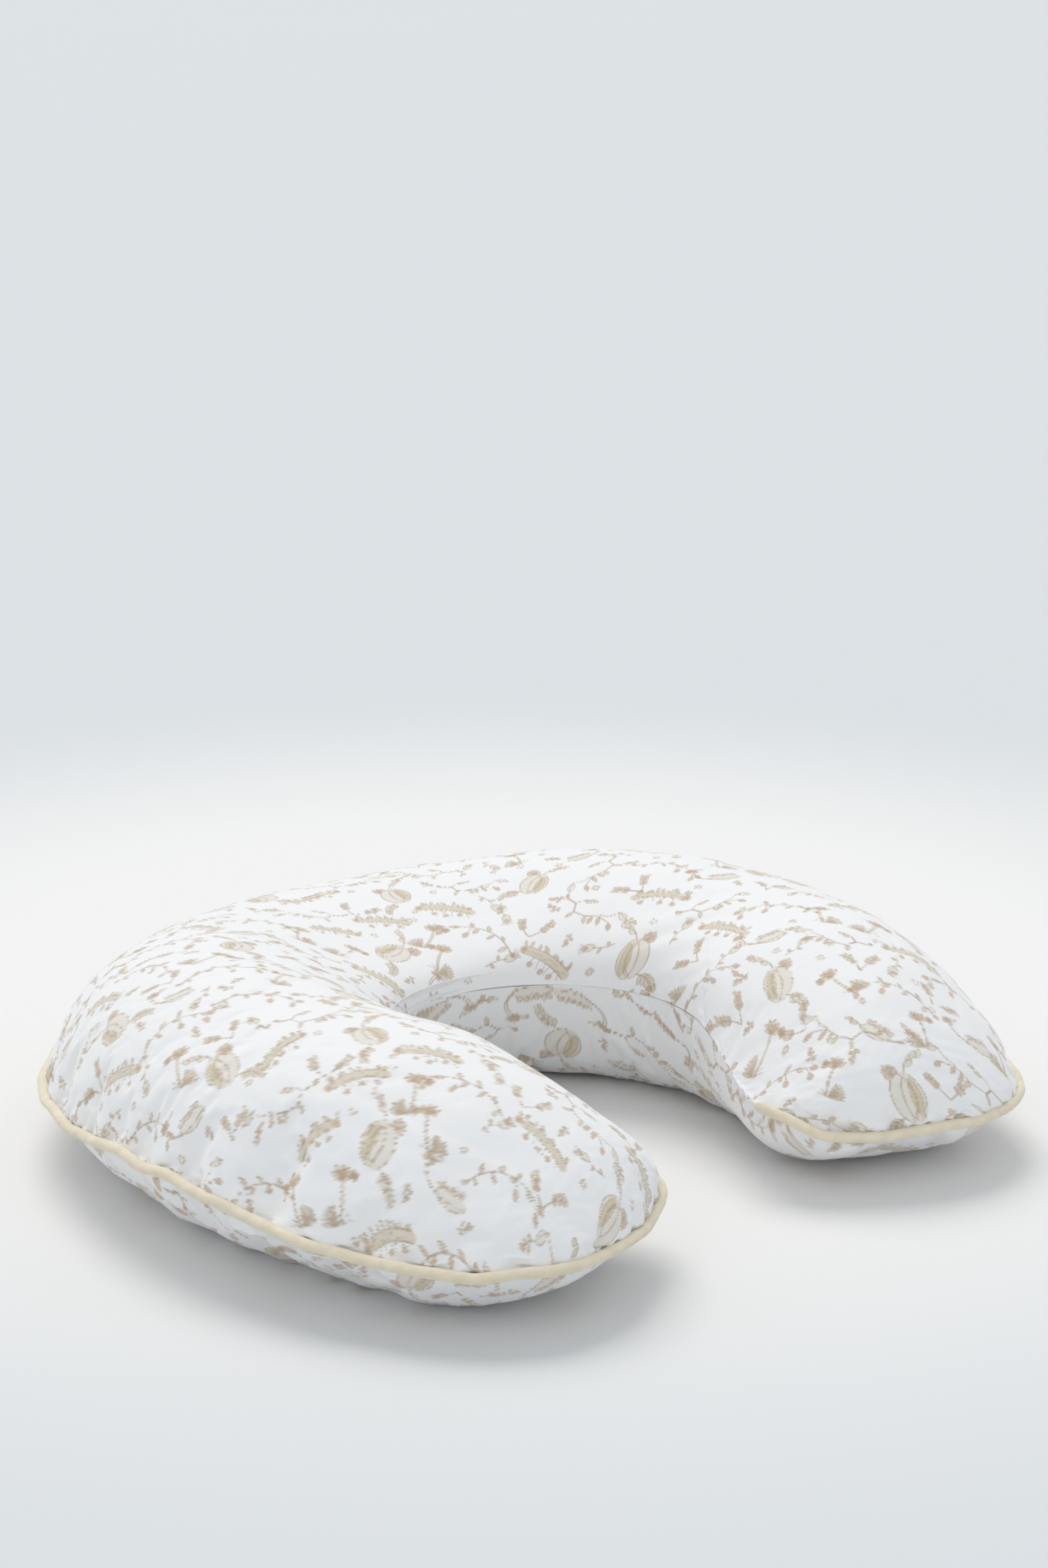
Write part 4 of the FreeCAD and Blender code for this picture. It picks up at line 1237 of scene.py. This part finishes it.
def label_sheet(bottom, centre):
    """Points of the label, lying just off the lower panel below the seam, and which way is out."""
    border = bottom[:, -1]
    lengths = lengths_of(border)
    left = border[:, 0] < 0
    nearest = np.argmin(np.linalg.norm(border - centre, axis=1) + 10 * ~left)
    spans = lengths[nearest] + LABEL_SIZE[0] * np.linspace(-0.5, 0.5, LABEL_CELLS[0] + 1)
    drops = np.linspace(0, 1, LABEL_CELLS[1] + 1)
    rows = np.interp(spans, lengths, np.arange(len(border)))
    sheet = []
    for row in rows:
        low = int(row)
        profile = bottom[low] * (1 - row + low) + bottom[low + 1] * (row - low)
        sheet.append(along_distance(profile[::-1], LABEL_START + LABEL_SIZE[1] * drops))
    sheet = np.array(sheet)
    outwards = -grid_normals(sheet)
    outwards *= np.sign(np.sum(outwards * (sheet - bottom.mean((0, 1))), axis=-1, keepdims=True))
    ruffle = LABEL_RUFFLE * ripple(sheet, 0.02, 31)
    lift = LABEL_CLEAR + LABEL_CURL * drops[None] ** 2 + np.abs(ruffle)
    return sheet + outwards * lift[..., None], outwards


def woven_label(bottom, centre, material):
    """Blank folded label, caught in the seam below the piping."""
    sheet, outwards = label_sheet(bottom, centre)
    inner = sheet - outwards * LABEL_THICKNESS
    rows, columns = sheet.shape[:2]
    numbers = np.arange(rows * columns).reshape(rows, columns)
    behind = numbers + rows * columns
    rim = np.concatenate([numbers[0], numbers[1:, -1], numbers[-1, -2::-1], numbers[-2:0:-1, 0]])
    after = np.roll(rim, -1)
    sides = np.stack([rim, after, after + rows * columns, rim + rows * columns], -1)
    quads = np.concatenate([numbered_faces(numbers), numbered_faces(behind)[:, ::-1], sides[:, ::-1]])
    points = np.concatenate([sheet.reshape(-1, 3), inner.reshape(-1, 3)])
    piece = new_piece("woven_label_cloth", points, quads, material)
    lengths, widths = (np.linspace(0, size, n) for size, n in zip(LABEL_SIZE, sheet.shape))
    flat = np.stack([*np.meshgrid(lengths, widths, indexing="ij"), np.zeros((rows, columns))], -1)
    set_attribute(piece.data, "flat", "FLOAT_VECTOR", np.concatenate([flat, flat]))
    return piece


# ---- build

add_camera()
add_lights()
add_floor()

top_grid, bottom_grid = stuffed_grids()
wave = seam_wave(top_grid) * border_fade(top_grid.shape[:2], SEAM_WAVE_REACH)[..., None]
wave[:, 0] = 0
pattern_top = flat_pattern(top_grid)
pattern_bottom = flat_pattern(bottom_grid) + BOTTOM_SHIFT
top_grid = top_grid + wave
bottom_grid = bottom_grid + wave
bottom_grid[..., 2] = np.maximum(bottom_grid[..., 2], 0)
top_grid, bottom_grid = inflate(top_grid, bottom_grid)

tile = print_tile()
cotton = print_cotton()
cover_top = cover_panel("cover_top_cloth", top_grid, pattern_top, tile, cotton, TOP_FACTORS, 1)
cover_bottom = cover_panel(
    "cover_bottom_cloth", bottom_grid, pattern_bottom, tile, cotton, BOTTOM_FACTORS, -1
)
for panel, node in ((cover_top, "cover_top"), (cover_bottom, "cover_bottom")):
    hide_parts(node)
    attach(panel, "pillow")

strip = piping(piping_line(top_grid), bias_cotton())
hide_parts("piping_cover", "piping_cord")
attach(strip, "pillow")

label_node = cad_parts["woven_label"]
label_centre = np.mean([label_node.matrix_world @ v.co for v in label_node.data.vertices], axis=0)
label = woven_label(bottom_grid, label_centre, satin())
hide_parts("woven_label")
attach(label, "pillow")

liner = plain_cloth("liner_cotton", (0.86, 0.86, 0.84), 0.7 * MM)
fibre = plain_cloth("fibre", (0.88, 0.88, 0.88), 1.5 * MM)
case_nodes = ("liner_top", "liner_bottom")
case = inner_cushion("liner_case", top_grid, bottom_grid, LINER_GAP, LINER_SEAM_GAP, liner, case_nodes)
fibre_nodes = ("fibre_filling",)
stuffing = inner_cushion(
    "fibre_stuffing", top_grid, bottom_grid, LINER_GAP + FIBRE_GAP, LINER_SEAM_GAP, fibre, fibre_nodes
)

NODE_MATERIALS = {
    "care_label": satin(),
    "zip_slider": enamel(),
    "zip_pull_tab": enamel(),
}
tape = plain_cloth("zip_tape", (0.87, 0.87, 0.86), 0.5 * MM)
teeth = nylon()
sewing = thread()
for name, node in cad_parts.items():
    material = NODE_MATERIALS.get(name)
    if material is None:
        if name.startswith("zip_tape"):
            material = tape
        elif "thread" in name:
            material = sewing
        else:
            material = teeth
    node.data.materials.clear()
    node.data.materials.append(material)

bpy.context.view_layer.update()
